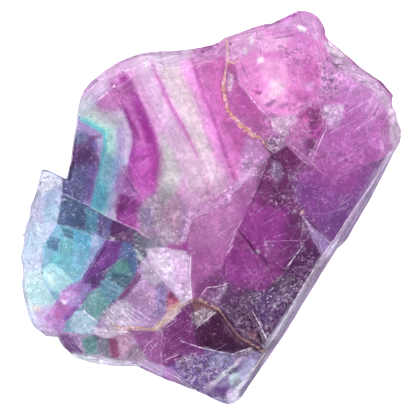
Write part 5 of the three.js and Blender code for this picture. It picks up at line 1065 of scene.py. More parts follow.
# %% List the lines
LINES = """
clay | 3.3,33.3,0.16 3.5,31.1,0.18 3.5,29.1,0.16 3.1,26.7,0.20 2.7,23.9,0.30 3.1,21.5,0.28 3.7,19.1,0.24
    5.3,17.3,0.36 7.1,15.5,0.52 8.9,14.3,0.44 10.1,13.7,0.24 11.3,12.1,0.16
clay | 3.5,29.1,0.18 4.7,28.7,0.18 5.9,29.1,0.10
clay | -18.7,-23.5,0.16 -17.1,-24.1,0.22 -14.9,-23.9,0.24 -12.3,-24.1,0.16 -10.9,-24.3,0.28
    -9.7,-23.1,0.22 -8.3,-21.7,0.14 -6.7,-20.3,0.10 -5.1,-19.3,0.08
silt | -5.1,-19.3,0.10 -3.7,-18.5,0.18 -1.9,-18.3,0.20 0.1,-19.3,0.24 2.1,-20.5,0.22 3.3,-22.3,0.18
    4.9,-24.5,0.16 6.1,-25.9,0.18 8.1,-26.9,0.24 10.1,-28.3,0.24 11.3,-28.7,0.16
dark | -1.9,-18.7,0.04 0.5,-20.1,0.06 2.5,-22.3,0.07 4.5,-24.9,0.06 7.3,-27.3,0.06 9.7,-28.7,0.06
dark | -20.7,-6.9,0.12 -22.3,-9.3,0.18 -25.1,-14.1,0.14
dark | 10.9,12.3,0.24 11.9,11.1,0.26 12.7,10.1,0.18
dark | 13.1,33.7,0.08 16.1,34.1,0.10
dark | 8.1,-7.5,0.16 9.1,-8.7,0.24
dark | 10.3,-9.5,0.08 11.3,-10.9,0.10
dark | -3.3,-20.9,0.10 -2.9,-23.9,0.16 -2.3,-27.1,0.10
dark | 9.7,-24.9,0.12 10.5,-26.5,0.18 11.1,-27.7,0.10
dark | 0.9,-28.3,0.08 4.5,-29.3,0.10 7.3,-28.5,0.08
dark | -17.1,8.3,0.04 -16.3,5.7,0.06 -15.1,3.3,0.06
dark | 6.3,28.5,0.03 6.9,26.9,0.05 7.9,25.3,0.03
dark | 23.9,29.5,0.06 24.9,28.3,0.14 26.7,28.5,0.10
dark | 37.7,9.9,0.06 28.1,-6.3,0.06 20.1,-18.7,0.08 13.3,-28.9,0.08 8.1,-37.3,0.06
bright | 36.7,11.5,0.08 35.1,8.5,0.08 29.1,-0.1,0.10 25.1,-6.1,0.10 21.7,-10.9,0.12 18.1,-16.9,0.12
    15.1,-22.1,0.14 12.5,-26.1,0.14
bright | 15.5,-11.7,0.14 18.3,-7.9,0.08
bright | -33.1,3.3,0.08 -29.9,4.9,0.10
bright | -2.3,-23.7,0.10 1.1,-20.9,0.14
bright | -5.5,-26.7,0.06 -1.9,-27.9,0.10 4.5,-29.3,0.12 8.5,-27.9,0.10
bright | 7.7,-34.3,0.04 8.5,-32.7,0.06 9.3,-31.3,0.04
bright | -8.7,-32.9,0.06 -6.7,-33.9,0.08 -4.3,-35.9,0.06 -1.5,-37.1,0.08
hair | -7.5,-31.9,0.08 -5.7,-34.3,0.10 -3.5,-36.1,0.08
bright | 8.7,-20.9,0.06 10.1,-23.5,0.10 11.3,-26.1,0.14
hair | 20.3,9.5,0.06 21.7,12.3,0.08
bright | 21.5,11.9,0.04 22.1,13.3,0.12 22.9,15.1,0.10
bright | -3.7,-9.7,0.10 -3.9,-13.5,0.06 -3.5,-18.5,0.10
bright | 6.1,24.3,0.06 8.5,21.3,0.08 10.5,19.1,0.08
bright | -1.5,-17.3,0.06 -0.5,-15.9,0.07 1.7,-15.7,0.06 3.5,-15.1,0.08
hair | -29.9,3.1,0.10 -24.3,0.5,0.10 -19.5,-2.1,0.10 -14.3,-4.5,0.10 -11.9,-6.1,0.08
hair | 10.7,6.7,0.06 9.3,3.5,0.08 8.1,0.7,0.06
hair | 6.3,-2.7,0.08 5.1,-4.7,0.16 4.1,-7.7,0.12 3.5,-9.3,0.06
dark | 11.3,7.9,0.08 9.9,4.3,0.10 8.3,1.1,0.06
hair | 11.7,-6.7,0.06 19.3,-6.5,0.06
hair | 24.9,8.7,0.08 28.1,10.5,0.08
hair | 27.1,18.7,0.08 32.1,21.7,0.08
hair | 29.1,15.5,0.08 33.3,18.3,0.08
hair | 24.1,14.9,0.08 28.5,17.1,0.06
hair | 15.5,13.1,0.06 20.1,9.1,0.07 22.5,6.7,0.05
hair | 10.7,7.1,0.06 9.7,6.3,0.08 7.9,6.5,0.08 7.3,5.7,0.10 6.7,4.9,0.08 5.9,3.9,0.12 4.9,3.3,0.08
    4.3,2.3,0.10 3.9,1.1,0.08 2.5,0.7,0.08 0.9,-0.1,0.12 -0.3,-0.9,0.08 -1.9,-1.5,0.08 -3.1,-1.9,0.12
    -3.7,-2.5,0.10 -4.1,-4.1,0.16 -4.7,-6.1,0.12
hair | -5.9,-30.9,0.08 -2.3,-29.7,0.10 1.1,-28.9,0.08
hair | -9.3,-24.9,0.08 -9.9,-28.1,0.10 -9.5,-31.3,0.08
hair | 18.5,-1.7,0.12 21.7,-6.5,0.10 22.9,-9.9,0.10
hair | 18.5,-1.7,0.10 20.5,-4.1,0.10 24.3,-7.3,0.10
hair | -20.3,-22.1,0.06 -16.7,-18.9,0.06
hair | -19.5,-18.9,0.08 -13.9,-22.9,0.08
hair | -18.3,-18.5,0.08 -12.3,-22.1,0.08
hair | -14.7,-9.7,0.08 -10.3,-12.9,0.08 -8.3,-15.7,0.08
hair | -29.9,-3.7,0.06 -28.7,-6.1,0.08 -26.3,-7.3,0.06
hair | -25.5,-20.5,0.06 -21.9,-22.9,0.10 -20.3,-24.9,0.06
hair | 37.3,10.9,0.06 32.5,3.1,0.08 27.1,-5.7,0.06 21.7,-14.9,0.08 17.3,-21.7,0.06
hair | 18.1,-21.3,0.08 13.3,-28.5,0.10 9.7,-34.1,0.08 6.9,-38.1,0.06
bright | 11.3,-28.9,0.08 9.3,-31.7,0.10 7.3,-34.9,0.08
bright | -12.7,-27.7,0.04 -11.7,-26.7,0.05
bright | -11.7,-28.5,0.04 -10.7,-27.3,0.05
bright | -13.5,-29.1,0.04 -12.7,-28.3,0.04
bright | -17.1,-28.3,0.03 -15.9,-27.1,0.04
bright | -15.3,-29.7,0.03 -14.3,-28.5,0.04
bright | -8.5,-23.9,0.04 -7.1,-22.9,0.06
bright | -6.9,-26.7,0.03 -5.9,-25.9,0.04
bright | -8.5,-30.3,0.05 -6.1,-29.3,0.06
bright | -7.7,-21.9,0.04 -6.3,-21.1,0.04
bright | -21.1,-20.7,0.05 -19.3,-23.1,0.07
bright | -19.7,-19.9,0.05 -17.5,-23.1,0.07
bright | -17.9,-19.5,0.05 -15.7,-22.7,0.06
bright | -25.9,-19.7,0.06 -22.7,-22.7,0.08
bright | -25.1,-19.3,0.05 -23.9,-20.9,0.06
dark | -28.7,-27.9,0.05 -27.5,-29.1,0.07 -24.7,-29.5,0.07 -21.9,-29.9,0.06 -17.9,-30.5,0.05
dark | -18.7,-24.3,0.04 -15.5,-24.7,0.08 -11.5,-24.9,0.06
bright | 4.5,-7.7,0.06 3.9,-8.7,0.05
bright | 13.1,1.5,0.04 13.3,0.7,0.06
dark | 4.5,-39.3,0.03 5.7,-37.9,0.04 7.1,-36.3,0.03
dark | 3.9,33.1,0.03 3.9,31.5,0.04 4.1,29.9,0.03
dark | 5.7,-4.3,0.08 7.3,-6.3,0.16 8.9,-8.1,0.10
bright | -18.7,-18.5,0.04 -13.9,-22.1,0.05
bright | -19.1,-19.5,0.05 -15.1,-22.9,0.06
bright | -17.1,-18.5,0.04 -11.5,-22.7,0.05
bright | -19.9,-20.5,0.04 -16.3,-23.7,0.06
bright | -17.9,-18.3,0.03 -12.7,-21.9,0.04
bright | -20.5,-21.7,0.04 -17.9,-24.1,0.06
hair | -21.9,-14.7,0.04 -17.9,-16.9,0.05
hair | -24.3,-16.9,0.04 -22.3,-15.9,0.05
hair | -14.5,-10.1,0.04 -14.3,-12.9,0.05
hair | -17.7,8.3,0.04 -15.1,4.3,0.05
hair | -16.5,9.7,0.03 -13.7,5.5,0.04
hair | -18.5,5.9,0.04 -15.7,1.9,0.05
dark | -16.3,5.9,0.03 -13.7,1.9,0.04
hair | -28.7,-4.9,0.04 -25.1,-6.5,0.05
hair | -29.9,-8.1,0.04 -25.5,-9.7,0.04
"""

# %% Measure the distance to each family of lines
FAR = 9.0  # mm


def line_distance(walk, where):
    """The signed distance to a line, and the line's half-width at the nearest place on it."""
    best, width = np.full(len(where), FAR), np.ones(len(where))
    for (*a, wide), (*b, next_wide) in zip(walk, walk[1:]):
        along = np.subtract(b, a)
        off = where - a
        t = np.clip((off @ along) / (along @ along), 0, 1)
        far = np.hypot(*(off - t[:, None] * along).T)
        far = np.where(along[0] * off[:, 1] > along[1] * off[:, 0], far, -far)
        nearer = np.abs(far) < np.abs(best)
        best = np.where(nearer, far, best)
        width = np.where(nearer, wide + (next_wide - wide) * t, width)
    return best, width


line_side, line_gap = {}, {}
for family, walk in rows_of(LINES):
    off, width = line_distance(walk, plan)
    gap = line_gap.setdefault(family, np.full(len(plan), FAR))
    side = line_side.setdefault(family, np.full(len(plan), FAR))
    nearer = np.abs(off) < gap
    side[nearer] = (off / width)[nearer]
    gap[nearer] = np.abs(off)[nearer]
print("families of lines:", ", ".join(line_gap))

# %% [markdown]
# ## Ridges
#
# A cleavage edge is never quite sharp: it loses crumbs, and the bare edge catches the light. The
# distance from each point to the nearest ridge says where. Ridges are the rims between flat faces
# that meet at a real angle. The thin cliffs inside a facet, where one leaf steps down to the next,
# are no ridges. They have little area for the length of their rims, which is how they are told.

# %% Measure the distance to the nearest ridge
RIDGE_ANGLE = math.cos(math.radians(24))
THIN_CLIFF = 0.4  # mm, a face's area over the length of its rim

area = np.bincount(face_of, np.linalg.norm(crosses, axis=1), count) / 2
rim_edges = face_of[sides[:, 0]] != face_of[sides[:, 1]]
rim_steps = np.linalg.norm(corners[edges[:, 0]] - corners[edges[:, 1]], axis=1) * rim_edges
rim_length = sum(np.bincount(face_of[sides[:, k]], rim_steps, count) for k in (0, 1))
broad = (area / rim_length > THIN_CLIFF)[face_of[sides]].all(1)
turn = (face_normal[face_of[sides[:, 0]]] * face_normal[face_of[sides[:, 1]]]).sum(1)
ridges = edge_points(rim_edges & broad & (turn < RIDGE_ANGLE))
ridge = distance_to(ridges, spots)
print("points within 0.1 mm of a ridge:", (ridge < 0.1).sum())

# %% [markdown]
# ## Relief
#
# No break is a perfect plane. It undulates a little, steps down in thin cleavage leaves, and is
# sugary where it is frosted. All of it is cut inward, as the stone itself has lost it, so the slab
# never grows past its solid.

# %% Cut the relief
WAVE_DEPTH, WAVE_SIZE = 0.10, 5.0  # mm
LEAF_DEPTH, LEAF_SIZE = 0.07, 3.0
LEAVES = 7  # steps from the highest leaf to the lowest
SUGAR_DEPTH = 0.07
CRUMB_DEPTH, CRUMB_SIZE = 0.16, 0.9
CRUMB_REACH = 0.3  # mm from a ridge
WALL_RISE, WALL_FADE = 0.9, 0.5  # a face whose normal rises less than this begins to be a wall


def cloud(where, size, seed):
    """Smooth noise from 0 to 1 with lumps of about the given size."""
    shift = Vector((seed * 17.3, seed * 5.1, seed * 9.7))
    return np.array([0.5 + 0.5 * noise.noise(Vector(p) / size + shift) for p in where])


def point_normals():
    crosses, _ = facing(spots, fine)
    summed = np.zeros_like(spots)
    for side in range(3):
        np.add.at(summed, fine[:, side], crosses)
    return summed / np.linalg.norm(summed, axis=1)[:, None]


def to_points(values):
    """The mean of a triangle-corner value at each point."""
    total = np.bincount(fine.reshape(-1), values, len(spots))
    return total / np.bincount(fine.reshape(-1), minlength=len(spots))


frost = to_points(paint[:, 4])
steepness = eased((WALL_RISE - np.abs(fine_normal[:, 2])) / WALL_FADE)
steep = to_points(np.repeat(steepness, 3)) * at_rim
inward = -point_normals()
wave = cloud(spots, WAVE_SIZE, 1)
leaf = np.floor(cloud(spots, LEAF_SIZE, 2) * LEAVES) / LEAVES
sugar = dice.uniform(0, 1, len(spots))
crumb = np.clip(1 - ridge / CRUMB_REACH, 0, 1) * cloud(spots, CRUMB_SIZE, 3) ** 2 * 2
depth = WAVE_DEPTH * wave + LEAF_DEPTH * leaf + SUGAR_DEPTH * frost * sugar + CRUMB_DEPTH * crumb
spots = spots + inward * depth[:, None]
print("deepest relief", round(depth.max(), 2), "mm")

# %% [markdown]
# ## The piece
#
# The fine mesh becomes one closed object. Faces on one side of a ridge are shaded smoothly together,
# and edges that turn by more than about a quarter of a right angle stay crisp, as cleavage edges do.

# %% Build the slab
SHARP = math.radians(22)


def build(name):
    mesh = bpy.data.meshes.new(name)
    mesh.from_pydata(spots * MM, [], fine.tolist())
    mesh.polygons.foreach_set("use_smooth", np.ones(len(fine), bool))
    mesh.set_sharp_from_angle(angle=SHARP)
    piece = bpy.data.objects.new(name, mesh)
    bpy.context.collection.objects.link(piece)
    return piece


def keep_value(piece, name, values):
    layer = piece.data.attributes.new(name, "FLOAT", "POINT")
    layer.data.foreach_set("value", np.asarray(values, np.float32))


def keep_paint(piece, name, colours):
    layer = piece.data.attributes.new(name, "FLOAT_COLOR", "CORNER")
    layer.data.foreach_set("color", np.asarray(colours, np.float32).reshape(-1))


crystal = build("banded_fluorite_slab")
keep_paint(crystal, "paint", paint[:, :4])
keep_value(crystal, "frost", frost)
keep_value(crystal, "steep", steep)
keep_value(crystal, "growth", growth)
keep_value(crystal, "ridge", ridge)
keep_value(crystal, "soot", soot)
for name in line_side:
    keep_value(crystal, name + "_side", line_side[name])
    keep_value(crystal, name + "_gap", line_gap[name])
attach(crystal, "root")
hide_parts("fluorite_slab")
print(crystal.name, len(crystal.data.polygons), "triangles")

# %% [markdown]
# ## A bench for nodes
#
# A material is a small program, and its nodes are easier to read when each is one call. `put` adds a
# node, sets its values and joins its inputs. The helpers below name the few kinds used most.

# %% Set up the bench


def put(tree, kind, inputs=None, **settings):
    """A new node, with its settings, and its inputs set or joined."""
    node = tree.nodes.new(kind)
    for name, value in settings.items():
        setattr(node, name, value)
    for name, value in (inputs or {}).items():
        if isinstance(value, bpy.types.NodeSocket):
            tree.links.new(value, node.inputs[name])
        else:
            node.inputs[name].default_value = value
    return node


def sums(tree, operation, *values):
    return put(tree, "ShaderNodeMath", dict(enumerate(values)), operation=operation).outputs[0]


def times(tree, first, second):
    return sums(tree, "MULTIPLY", first, second)


def vectors(tree, operation, *values):
    node = put(tree, "ShaderNodeVectorMath", dict(enumerate(values)), operation=operation)
    return node.outputs[0]


def between(tree, value, low, high, to_low=0.0, to_high=1.0):
    """A value eased from one range to another."""
    inputs = {"Value": value, "From Min": low, "From Max": high, "To Min": to_low, "To Max": to_high}
    return put(tree, "ShaderNodeMapRange", inputs, interpolation_type="SMOOTHSTEP").outputs[0]


def blend(tree, share, first, second):
    """Some share of the second colour in the first."""
    node = put(tree, "ShaderNodeMix", data_type="RGBA")
    for socket, value in ((0, share), (6, first), (7, second)):
        if isinstance(value, bpy.types.NodeSocket):
            tree.links.new(value, node.inputs[socket])
        else:
            node.inputs[socket].default_value = value
    return node.outputs[2]


def grain(tree, where, size, detail=2.0, roughness=0.55):
    """Noise from 0 to 1 with lumps of a size in millimetres."""
    inputs = {"Vector": where, "Scale": 1 / size, "Detail": detail, "Roughness": roughness}
    return put(tree, "ShaderNodeTexNoise", inputs).outputs["Fac"]


def new_group(name, takes, gives):
    """An empty node group with named sockets, and its two ends."""
    group = bpy.data.node_groups.new(name, "ShaderNodeTree")
    for socket, value in takes.items():
        kind = "NodeSocketVector" if value is None else "NodeSocketFloat"
        made = group.interface.new_socket(socket, in_out="INPUT", socket_type=kind)
        if value is not None:
            made.default_value = value
    for socket in gives:
        group.interface.new_socket(socket, in_out="OUTPUT", socket_type="NodeSocketFloat")
    start = group.nodes.new("NodeGroupInput")
    end = group.nodes.new("NodeGroupOutput")
    return group, start.outputs, end.inputs


def use(tree, group, **inputs):
    """The first output of a group that is placed with its own values."""
    return put(tree, "ShaderNodeGroup", inputs, node_tree=group).outputs[0]


print("bench ready")

# %% [markdown]
# ## Scratches
#
# Fluorite is soft, so it carries scratches, and thin cleavage leaves inside it look like more of
# them. Both are short straight lines that keep to a direction. The plane is ruled into rows, each
# row into cells, and a cell holds one line or none. White noise deals each cell its line's place,
# length and slant.

# %% Rule the scratches
STAGGER = 7.0  # cells, by which rows are shifted against each other
SHORTEST, VARIETY = 0.12, 0.3  # of a cell: a line's half-length at the least, and what is dealt more

scratches, take, give = new_group(
    "scratches",
    {"Spot": None, "Angle": 0.0, "Row": 1.0, "Reach": 6.0, "Width": 0.08, "Share": 0.3, "Seed": 0.0},
    ["Mark"],
)


def rule_scratches(tree):
    turned = put(
        tree, "ShaderNodeVectorRotate", {"Vector": take["Spot"], "Angle": take["Angle"]},
        rotation_type="Z_AXIS",
    )
    axis = put(tree, "ShaderNodeSeparateXYZ", {"Vector": turned.outputs[0]}).outputs
    down = sums(tree, "ADD", sums(tree, "DIVIDE", axis["Y"], take["Row"]), take["Seed"])
    row = sums(tree, "FLOOR", down)
    dealt = put(tree, "ShaderNodeTexWhiteNoise", {"W": row}, noise_dimensions="1D").outputs["Value"]
    shift = times(tree, dealt, STAGGER)
    along = sums(tree, "ADD", sums(tree, "DIVIDE", axis["X"], take["Reach"]), shift)
    cell = sums(tree, "FLOOR", along)
    key = put(tree, "ShaderNodeCombineXYZ", {"X": row, "Y": cell, "Z": take["Seed"]}).outputs[0]
    cards = put(tree, "ShaderNodeTexWhiteNoise", {"Vector": key}, noise_dimensions="3D")
    card = put(tree, "ShaderNodeSeparateColor", {"Color": cards.outputs["Color"]}).outputs
    x = sums(tree, "SUBTRACT", sums(tree, "SUBTRACT", along, cell), 0.5)
    y = sums(tree, "SUBTRACT", sums(tree, "SUBTRACT", down, row), 0.5)
    slant = times(tree, sums(tree, "SUBTRACT", card["Blue"], 0.5), x)
    offset = times(tree, sums(tree, "SUBTRACT", card["Green"], 0.5), 0.5)
    gap = sums(tree, "ABSOLUTE", sums(tree, "SUBTRACT", sums(tree, "SUBTRACT", y, offset), slant))
    gap = times(tree, gap, take["Row"])
    reach = sums(tree, "ADD", times(tree, card["Green"], VARIETY), SHORTEST)
    thin = between(tree, sums(tree, "DIVIDE", sums(tree, "ABSOLUTE", x), reach), 1.0, 0.5)
    line = between(tree, sums(tree, "DIVIDE", gap, take["Width"]), 1.0, 0.4)
    there = sums(tree, "LESS_THAN", card["Red"], take["Share"])
    tree.links.new(times(tree, times(tree, line, thin), there), give["Mark"])


rule_scratches(scratches)
print("scratches:", len(scratches.nodes), "nodes")

# %% [markdown]
# ## Shards, mosaic and web
#
# A bruised or sugary face is made of small leaves at many slants. Voronoi cells stand for them in
# three ways. A few cells alone are specks. All of them with a random tone each are a mosaic of tiny
# faces. The lines between them are a web of broken edges.

# %% Break the face into cells
shards, take, give = new_group(
    "shards", {"Spot": None, "Size": 0.5, "Share": 0.1, "Seed": 0.0}, ["Mark"]
)


def cells(tree, where, size, **settings):
    """Voronoi cells of a size in millimetres."""
    inputs = {"Vector": where, "Scale": sums(tree, "DIVIDE", 1.0, size)}
    return put(tree, "ShaderNodeTexVoronoi", inputs, **settings).outputs


seeded = vectors(shards, "ADD", take["Spot"], take["Seed"])
cell = cells(shards, seeded, take["Size"])
card = put(shards, "ShaderNodeSeparateColor", {"Color": cell["Color"]}).outputs
dealt = sums(shards, "LESS_THAN", card["Red"], take["Share"])
core = between(shards, cell["Distance"], 0.6, 0.45)
mark = times(shards, times(shards, dealt, core), card["Green"])
shards.links.new(mark, give["Mark"])

mosaic, take, give = new_group("mosaic", {"Spot": None, "Size": 1.0, "Seed": 0.0}, ["Tone"])
cell = cells(mosaic, vectors(mosaic, "ADD", take["Spot"], take["Seed"]), take["Size"])
tone = put(mosaic, "ShaderNodeSeparateColor", {"Color": cell["Color"]}).outputs["Red"]
mosaic.links.new(tone, give["Tone"])

web, take, give = new_group(
    "web", {"Spot": None, "Size": 1.0, "Width": 0.1, "Seed": 0.0}, ["Mark"]
)
stir = put(web, "ShaderNodeTexNoise", {"Vector": take["Spot"]})
bent = vectors(web, "SCALE", stir.outputs["Color"])
web.links.new(take["Size"], bent.node.inputs["Scale"])
seeded = vectors(web, "ADD", vectors(web, "ADD", take["Spot"], bent), take["Seed"])
cell = cells(web, seeded, take["Size"], feature="DISTANCE_TO_EDGE")
off = times(web, cell["Distance"], take["Size"])
web.links.new(between(web, sums(web, "DIVIDE", off, take["Width"]), 1.0, 0.3), give["Mark"])
print("shards, mosaic and web ready")

# %% [markdown]
# ## Veins
#
# A vein is a healed crack inside the stone. The line along which a smooth noise passes its middle
# value wanders just like one.

# %% Draw the veins
veins, take, give = new_group(
    "veins", {"Spot": None, "Size": 5.0, "Width": 0.02, "Seed": 0.0}, ["Mark"]
)
seeded = vectors(veins, "ADD", take["Spot"], take["Seed"])
body = put(
    veins, "ShaderNodeTexNoise",
    {"Vector": seeded, "Scale": sums(veins, "DIVIDE", 1.0, take["Size"]), "Detail": 3.0},
).outputs["Fac"]
off = sums(veins, "ABSOLUTE", sums(veins, "SUBTRACT", body, 0.5))
veins.links.new(between(veins, sums(veins, "DIVIDE", off, take["Width"]), 1.0, 0.2), give["Mark"])
print("veins:", len(veins.nodes), "nodes")

# %% [markdown]
# ## Lines from their distances
#
# A drawn line needs a little wandering, so that it isn't ruled. The group takes the two numbers that
# were measured on the points, and gives the line's mark. Its stray is counted in half-widths too.

# %% Draw a line from its distances
drawn, take, give = new_group(
    "drawn line", {"Spot": None, "Side": 9.0, "Gap": 9.0, "Stray": 1.0}, ["Mark"]
)
stray = sums(drawn, "SUBTRACT", grain(drawn, take["Spot"], 0.7, 3.0), 0.5)
stray = times(drawn, stray, take["Stray"])
off = sums(drawn, "ABSOLUTE", sums(drawn, "ADD", take["Side"], stray))
line = between(drawn, off, 1.3, 0.7)
true = between(drawn, take["Gap"], 0.9, 0.7)
drawn.links.new(times(drawn, line, true), give["Mark"])
print("drawn line:", len(drawn.nodes), "nodes")

# %% [markdown]
# ## The glass
#
# The mineral is glass to the light: it is see-through, with an index of 1.434, the lowest of any
# common crystal, and it soaks up a little light on the way. These are plain values on the shader.
# What changes over the slab is the colour at its faces, so the next cells build that up in layers.

# %% Start the glass
glass = bpy.data.materials.new("banded fluorite")
glass.use_nodes = True
tree = glass.node_tree
shader = tree.nodes["Principled BSDF"]
shader.inputs["Transmission Weight"].default_value = 0.85
shader.inputs["IOR"].default_value = 1.434
soak = put(tree, "ShaderNodeVolumeAbsorption", {"Color": (0.85, 0.62, 0.85, 1), "Density": 10.0})
tree.links.new(soak.outputs["Volume"], tree.nodes["Material Output"].inputs["Volume"])


def kept(name):
    """A number that was kept on the points."""
    return put(tree, "ShaderNodeAttribute", attribute_name=name).outputs["Fac"]


def scaled(colour, factor):
    node = vectors(tree, "SCALE", colour).node
    tree.links.new(factor, node.inputs["Scale"])
    return node.outputs[0]


def laid(under, mark, strength, colour):
    """A colour laid over what is there, as far as the mark says."""
    return blend(tree, times(tree, mark, strength), under, colour)


place = put(tree, "ShaderNodeTexCoord").outputs["Object"]
spot = vectors(tree, "MULTIPLY", place, (1000, 1000, 1000))  # millimetres
print("glass of index", round(shader.inputs["IOR"].default_value, 3))

# %% [markdown]
# ## Layers and clouds
#
# The ramp gives each growth number its colour: a teal line, then mint, lilac, magenta and cream, as
# the brine changed. Where a tint was painted, it covers the ramp. Faint striae run along the layers
# and soft clouds lie across them, because no layer is even.

# %% Colour the layers
GROWTH_TOP = len(GROWTH_LINES) - 1
GROWTH_COLOURS = [
    (0.0, "5e4a86"), (0.55, "7a68a4"), (0.85, "ac9cc4"), (0.95, "7cbcc4"), (1.0, "5cc0c4"),
    (1.12, "84d0c8"), (1.3, "a8dccc"), (1.65, "b4dcd0"), (1.9, "bccfd4"), (2.15, "bab2d4"),
    (2.4, "c8bcd8"), (2.7, "d2ccda"), (2.88, "c4a0c8"), (3.0, "98409a"), (3.25, "c274b8"),
    (3.45, "c880c0"), (3.7, "a8409c"), (3.92, "a0389a"), (4.03, "b464ac"), (4.15, "d8a8d0"),
    (4.45, "d8bcd6"), (4.75, "dccadc"), (5.0, "d8b0d0"), (5.2, "eae0e8"), (5.5, "e8d6e4"),
    (5.75, "e4c0dc"), (5.97, "d898cc"), (6.05, "c874b8"), (6.15, "d490c6"), (6.5, "c878b8"),
    (7.0, "c068b0"),
]


def ramp(value, stops, top):
    node = put(tree, "ShaderNodeValToRGB", {"Fac": sums(tree, "DIVIDE", value, top)})
    band = node.color_ramp
    while len(band.elements) < len(stops):
        band.elements.new(1.0)
    for element, (at, code) in zip(band.elements, stops):
        element.position = at / top
        element.color = (*mixed(code), 1)
    return node.outputs["Color"]


ragged = times(tree, sums(tree, "SUBTRACT", grain(tree, spot, 2.6, 4.0), 0.5), 0.06)
layer = sums(tree, "ADD", kept("growth"), ragged)
painted = put(tree, "ShaderNodeAttribute", attribute_name="paint").outputs
bare = sums(tree, "SUBTRACT", 1.0, painted["Alpha"])
banded = scaled(ramp(layer, GROWTH_COLOURS, GROWTH_TOP), bare)
seen = vectors(tree, "ADD", banded, painted["Color"])

height = put(tree, "ShaderNodeSeparateXYZ", {"Vector": spot}).outputs["Y"]
along = put(
    tree, "ShaderNodeCombineXYZ",
    {"X": times(tree, layer, 9.0), "Y": times(tree, height, 0.06)},
).outputs[0]
striae = between(tree, grain(tree, along, 1.0, 3.0), 0.3, 0.7, 0.96, 1.03)
cloud_shade = between(tree, grain(tree, spot, 3.4, 5.0, 0.6), 0.25, 0.75, 0.92, 1.07)
seen = scaled(seen, times(tree, cloud_shade, striae))
print(len(GROWTH_COLOURS), "colours on the growth ramp")

# %% [markdown]
# ## Frost
#
# Where the stone broke across its cleavage, the face is a sugar of tiny steps. They show as a mosaic
# of light and dark, as crisp crumbs, as a web of edges, and as needles that keep to the cleavage
# directions. All of it grows with the frost that each point was given.

# %% Dust on the frost, and painted glints
WHITE = (0.90, 0.85, 0.93, 1)
DUSK = (0.14, 0.05, 0.16, 1)
frost_here = kept("frost")
speck = grain(tree, spot, 0.8, 5.0, 0.75)
patchy = between(tree, grain(tree, spot, 3.4, 3.0), 0.36, 0.64, 0.15, 1.05)
sugar_here = times(tree, frost_here, patchy)


def toned(colour, tone, strength):
    """A colour made lighter or darker by a tone from 0 to 1, as far as the strength says."""
    change = times(tree, sums(tree, "SUBTRACT", tone, 0.5), strength)
    return scaled(colour, sums(tree, "ADD", change, 1.0))


seen = toned(seen, use(tree, mosaic, Spot=spot, Size=3.2, Seed=4.0), 0.10)
fine_strength = between(tree, sugar_here, 0.0, 0.9, 0.10, 0.95)
seen = toned(seen, use(tree, mosaic, Spot=spot, Size=0.75, Seed=1.0), fine_strength)
fine_speck = grain(tree, spot, 0.36, 3.0, 0.7)
seen = toned(seen, fine_speck, between(tree, sugar_here, 0.0, 0.8, 0.4, 2.8))
white_crumb = times(tree, between(tree, speck, 0.54, 0.61), sugar_here)
dark_crumb = times(tree, between(tree, speck, 0.45, 0.38), sugar_here)
seen = laid(seen, white_crumb, strength=0.65, colour=WHITE)
seen = laid(seen, dark_crumb, strength=0.5, colour=DUSK)
edges_here = use(tree, web, Spot=spot, Size=1.1, Width=0.09, Seed=7.0)
edges_here = times(tree, edges_here, between(tree, speck, 0.42, 0.56))
seen = laid(seen, times(tree, edges_here, sugar_here), strength=0.6, colour=WHITE)


def ruled(**values):
    return use(tree, scratches, Spot=spot, **values)


needles = sums(
    tree, "MAXIMUM",
    ruled(Angle=-0.95, Row=0.4, Reach=1.3, Width=0.07, Share=0.4, Seed=21.0),
    ruled(Angle=0.75, Row=0.45, Reach=1.1, Width=0.07, Share=0.4, Seed=34.0),
)
seen = laid(seen, times(tree, needles, sugar_here), strength=0.45, colour=WHITE)
# White flakes are partly chips of frost and partly painted glints, and show a little even on clear
# glass.
glint_flake = use(tree, shards, Spot=spot, Size=0.34, Share=0.05, Seed=2.0)
glint_flake = times(tree, glint_flake, between(tree, frost_here, 0.0, 0.7, 0.3, 1.0))
seen = laid(seen, glint_flake, strength=0.85, colour=WHITE)
dust = use(tree, shards, Spot=spot, Size=0.3, Share=0.22, Seed=41.0)
seen = laid(seen, times(tree, dust, sugar_here), strength=0.85, colour=WHITE)

# %% Pepper the sooty places
soot_here = kept("soot")
pit = use(tree, shards, Spot=spot, Size=0.5, Share=0.33, Seed=12.0)
pit = times(tree, between(tree, pit, 0.1, 0.5), soot_here)
seen = laid(seen, pit, strength=0.75, colour=DUSK)
glint = use(tree, shards, Spot=spot, Size=0.5, Share=0.22, Seed=15.0)
frosted_soot = times(tree, soot_here, frost_here)
glint = times(tree, between(tree, glint, 0.2, 0.6), frosted_soot)
seen = laid(seen, glint, strength=0.9, colour=WHITE)

# %% [markdown]
# ## Ledges
#
# The walls broke across the cleavage, so the leaves come out at them edge on. Noise that is drawn
# out along the wall and packed tight up it gives their thin level ledges.

# %% Rule the walls with ledges
steep_here = kept("steep")
drawn_out = vectors(tree, "MULTIPLY", spot, (0.22, 0.22, 1.9))
ledges = grain(tree, drawn_out, 1.0, 4.0, 0.65)
seen = toned(seen, ledges, times(tree, steep_here, 1.5))
lit_ledge = times(tree, between(tree, ledges, 0.56, 0.66), steep_here)
seen = laid(seen, lit_ledge, strength=0.4, colour=WHITE)

# %% [markdown]
# ## Wear, and painted highlights on the ridges
#
# Ridges lose crumbs and show a broken pale edge, which is partly the crumbling and partly a painted
# highlight where the bare edge catches the light. Across the faces run fine scratches, with the thin
# healed cracks that geologists call veils. They are faint, and a few catch the light.

# %% Wear the ridges, paint highlights on them and scratch the faces
edge = sums(tree, "ADD", kept("ridge"), times(tree, speck, 0.5))
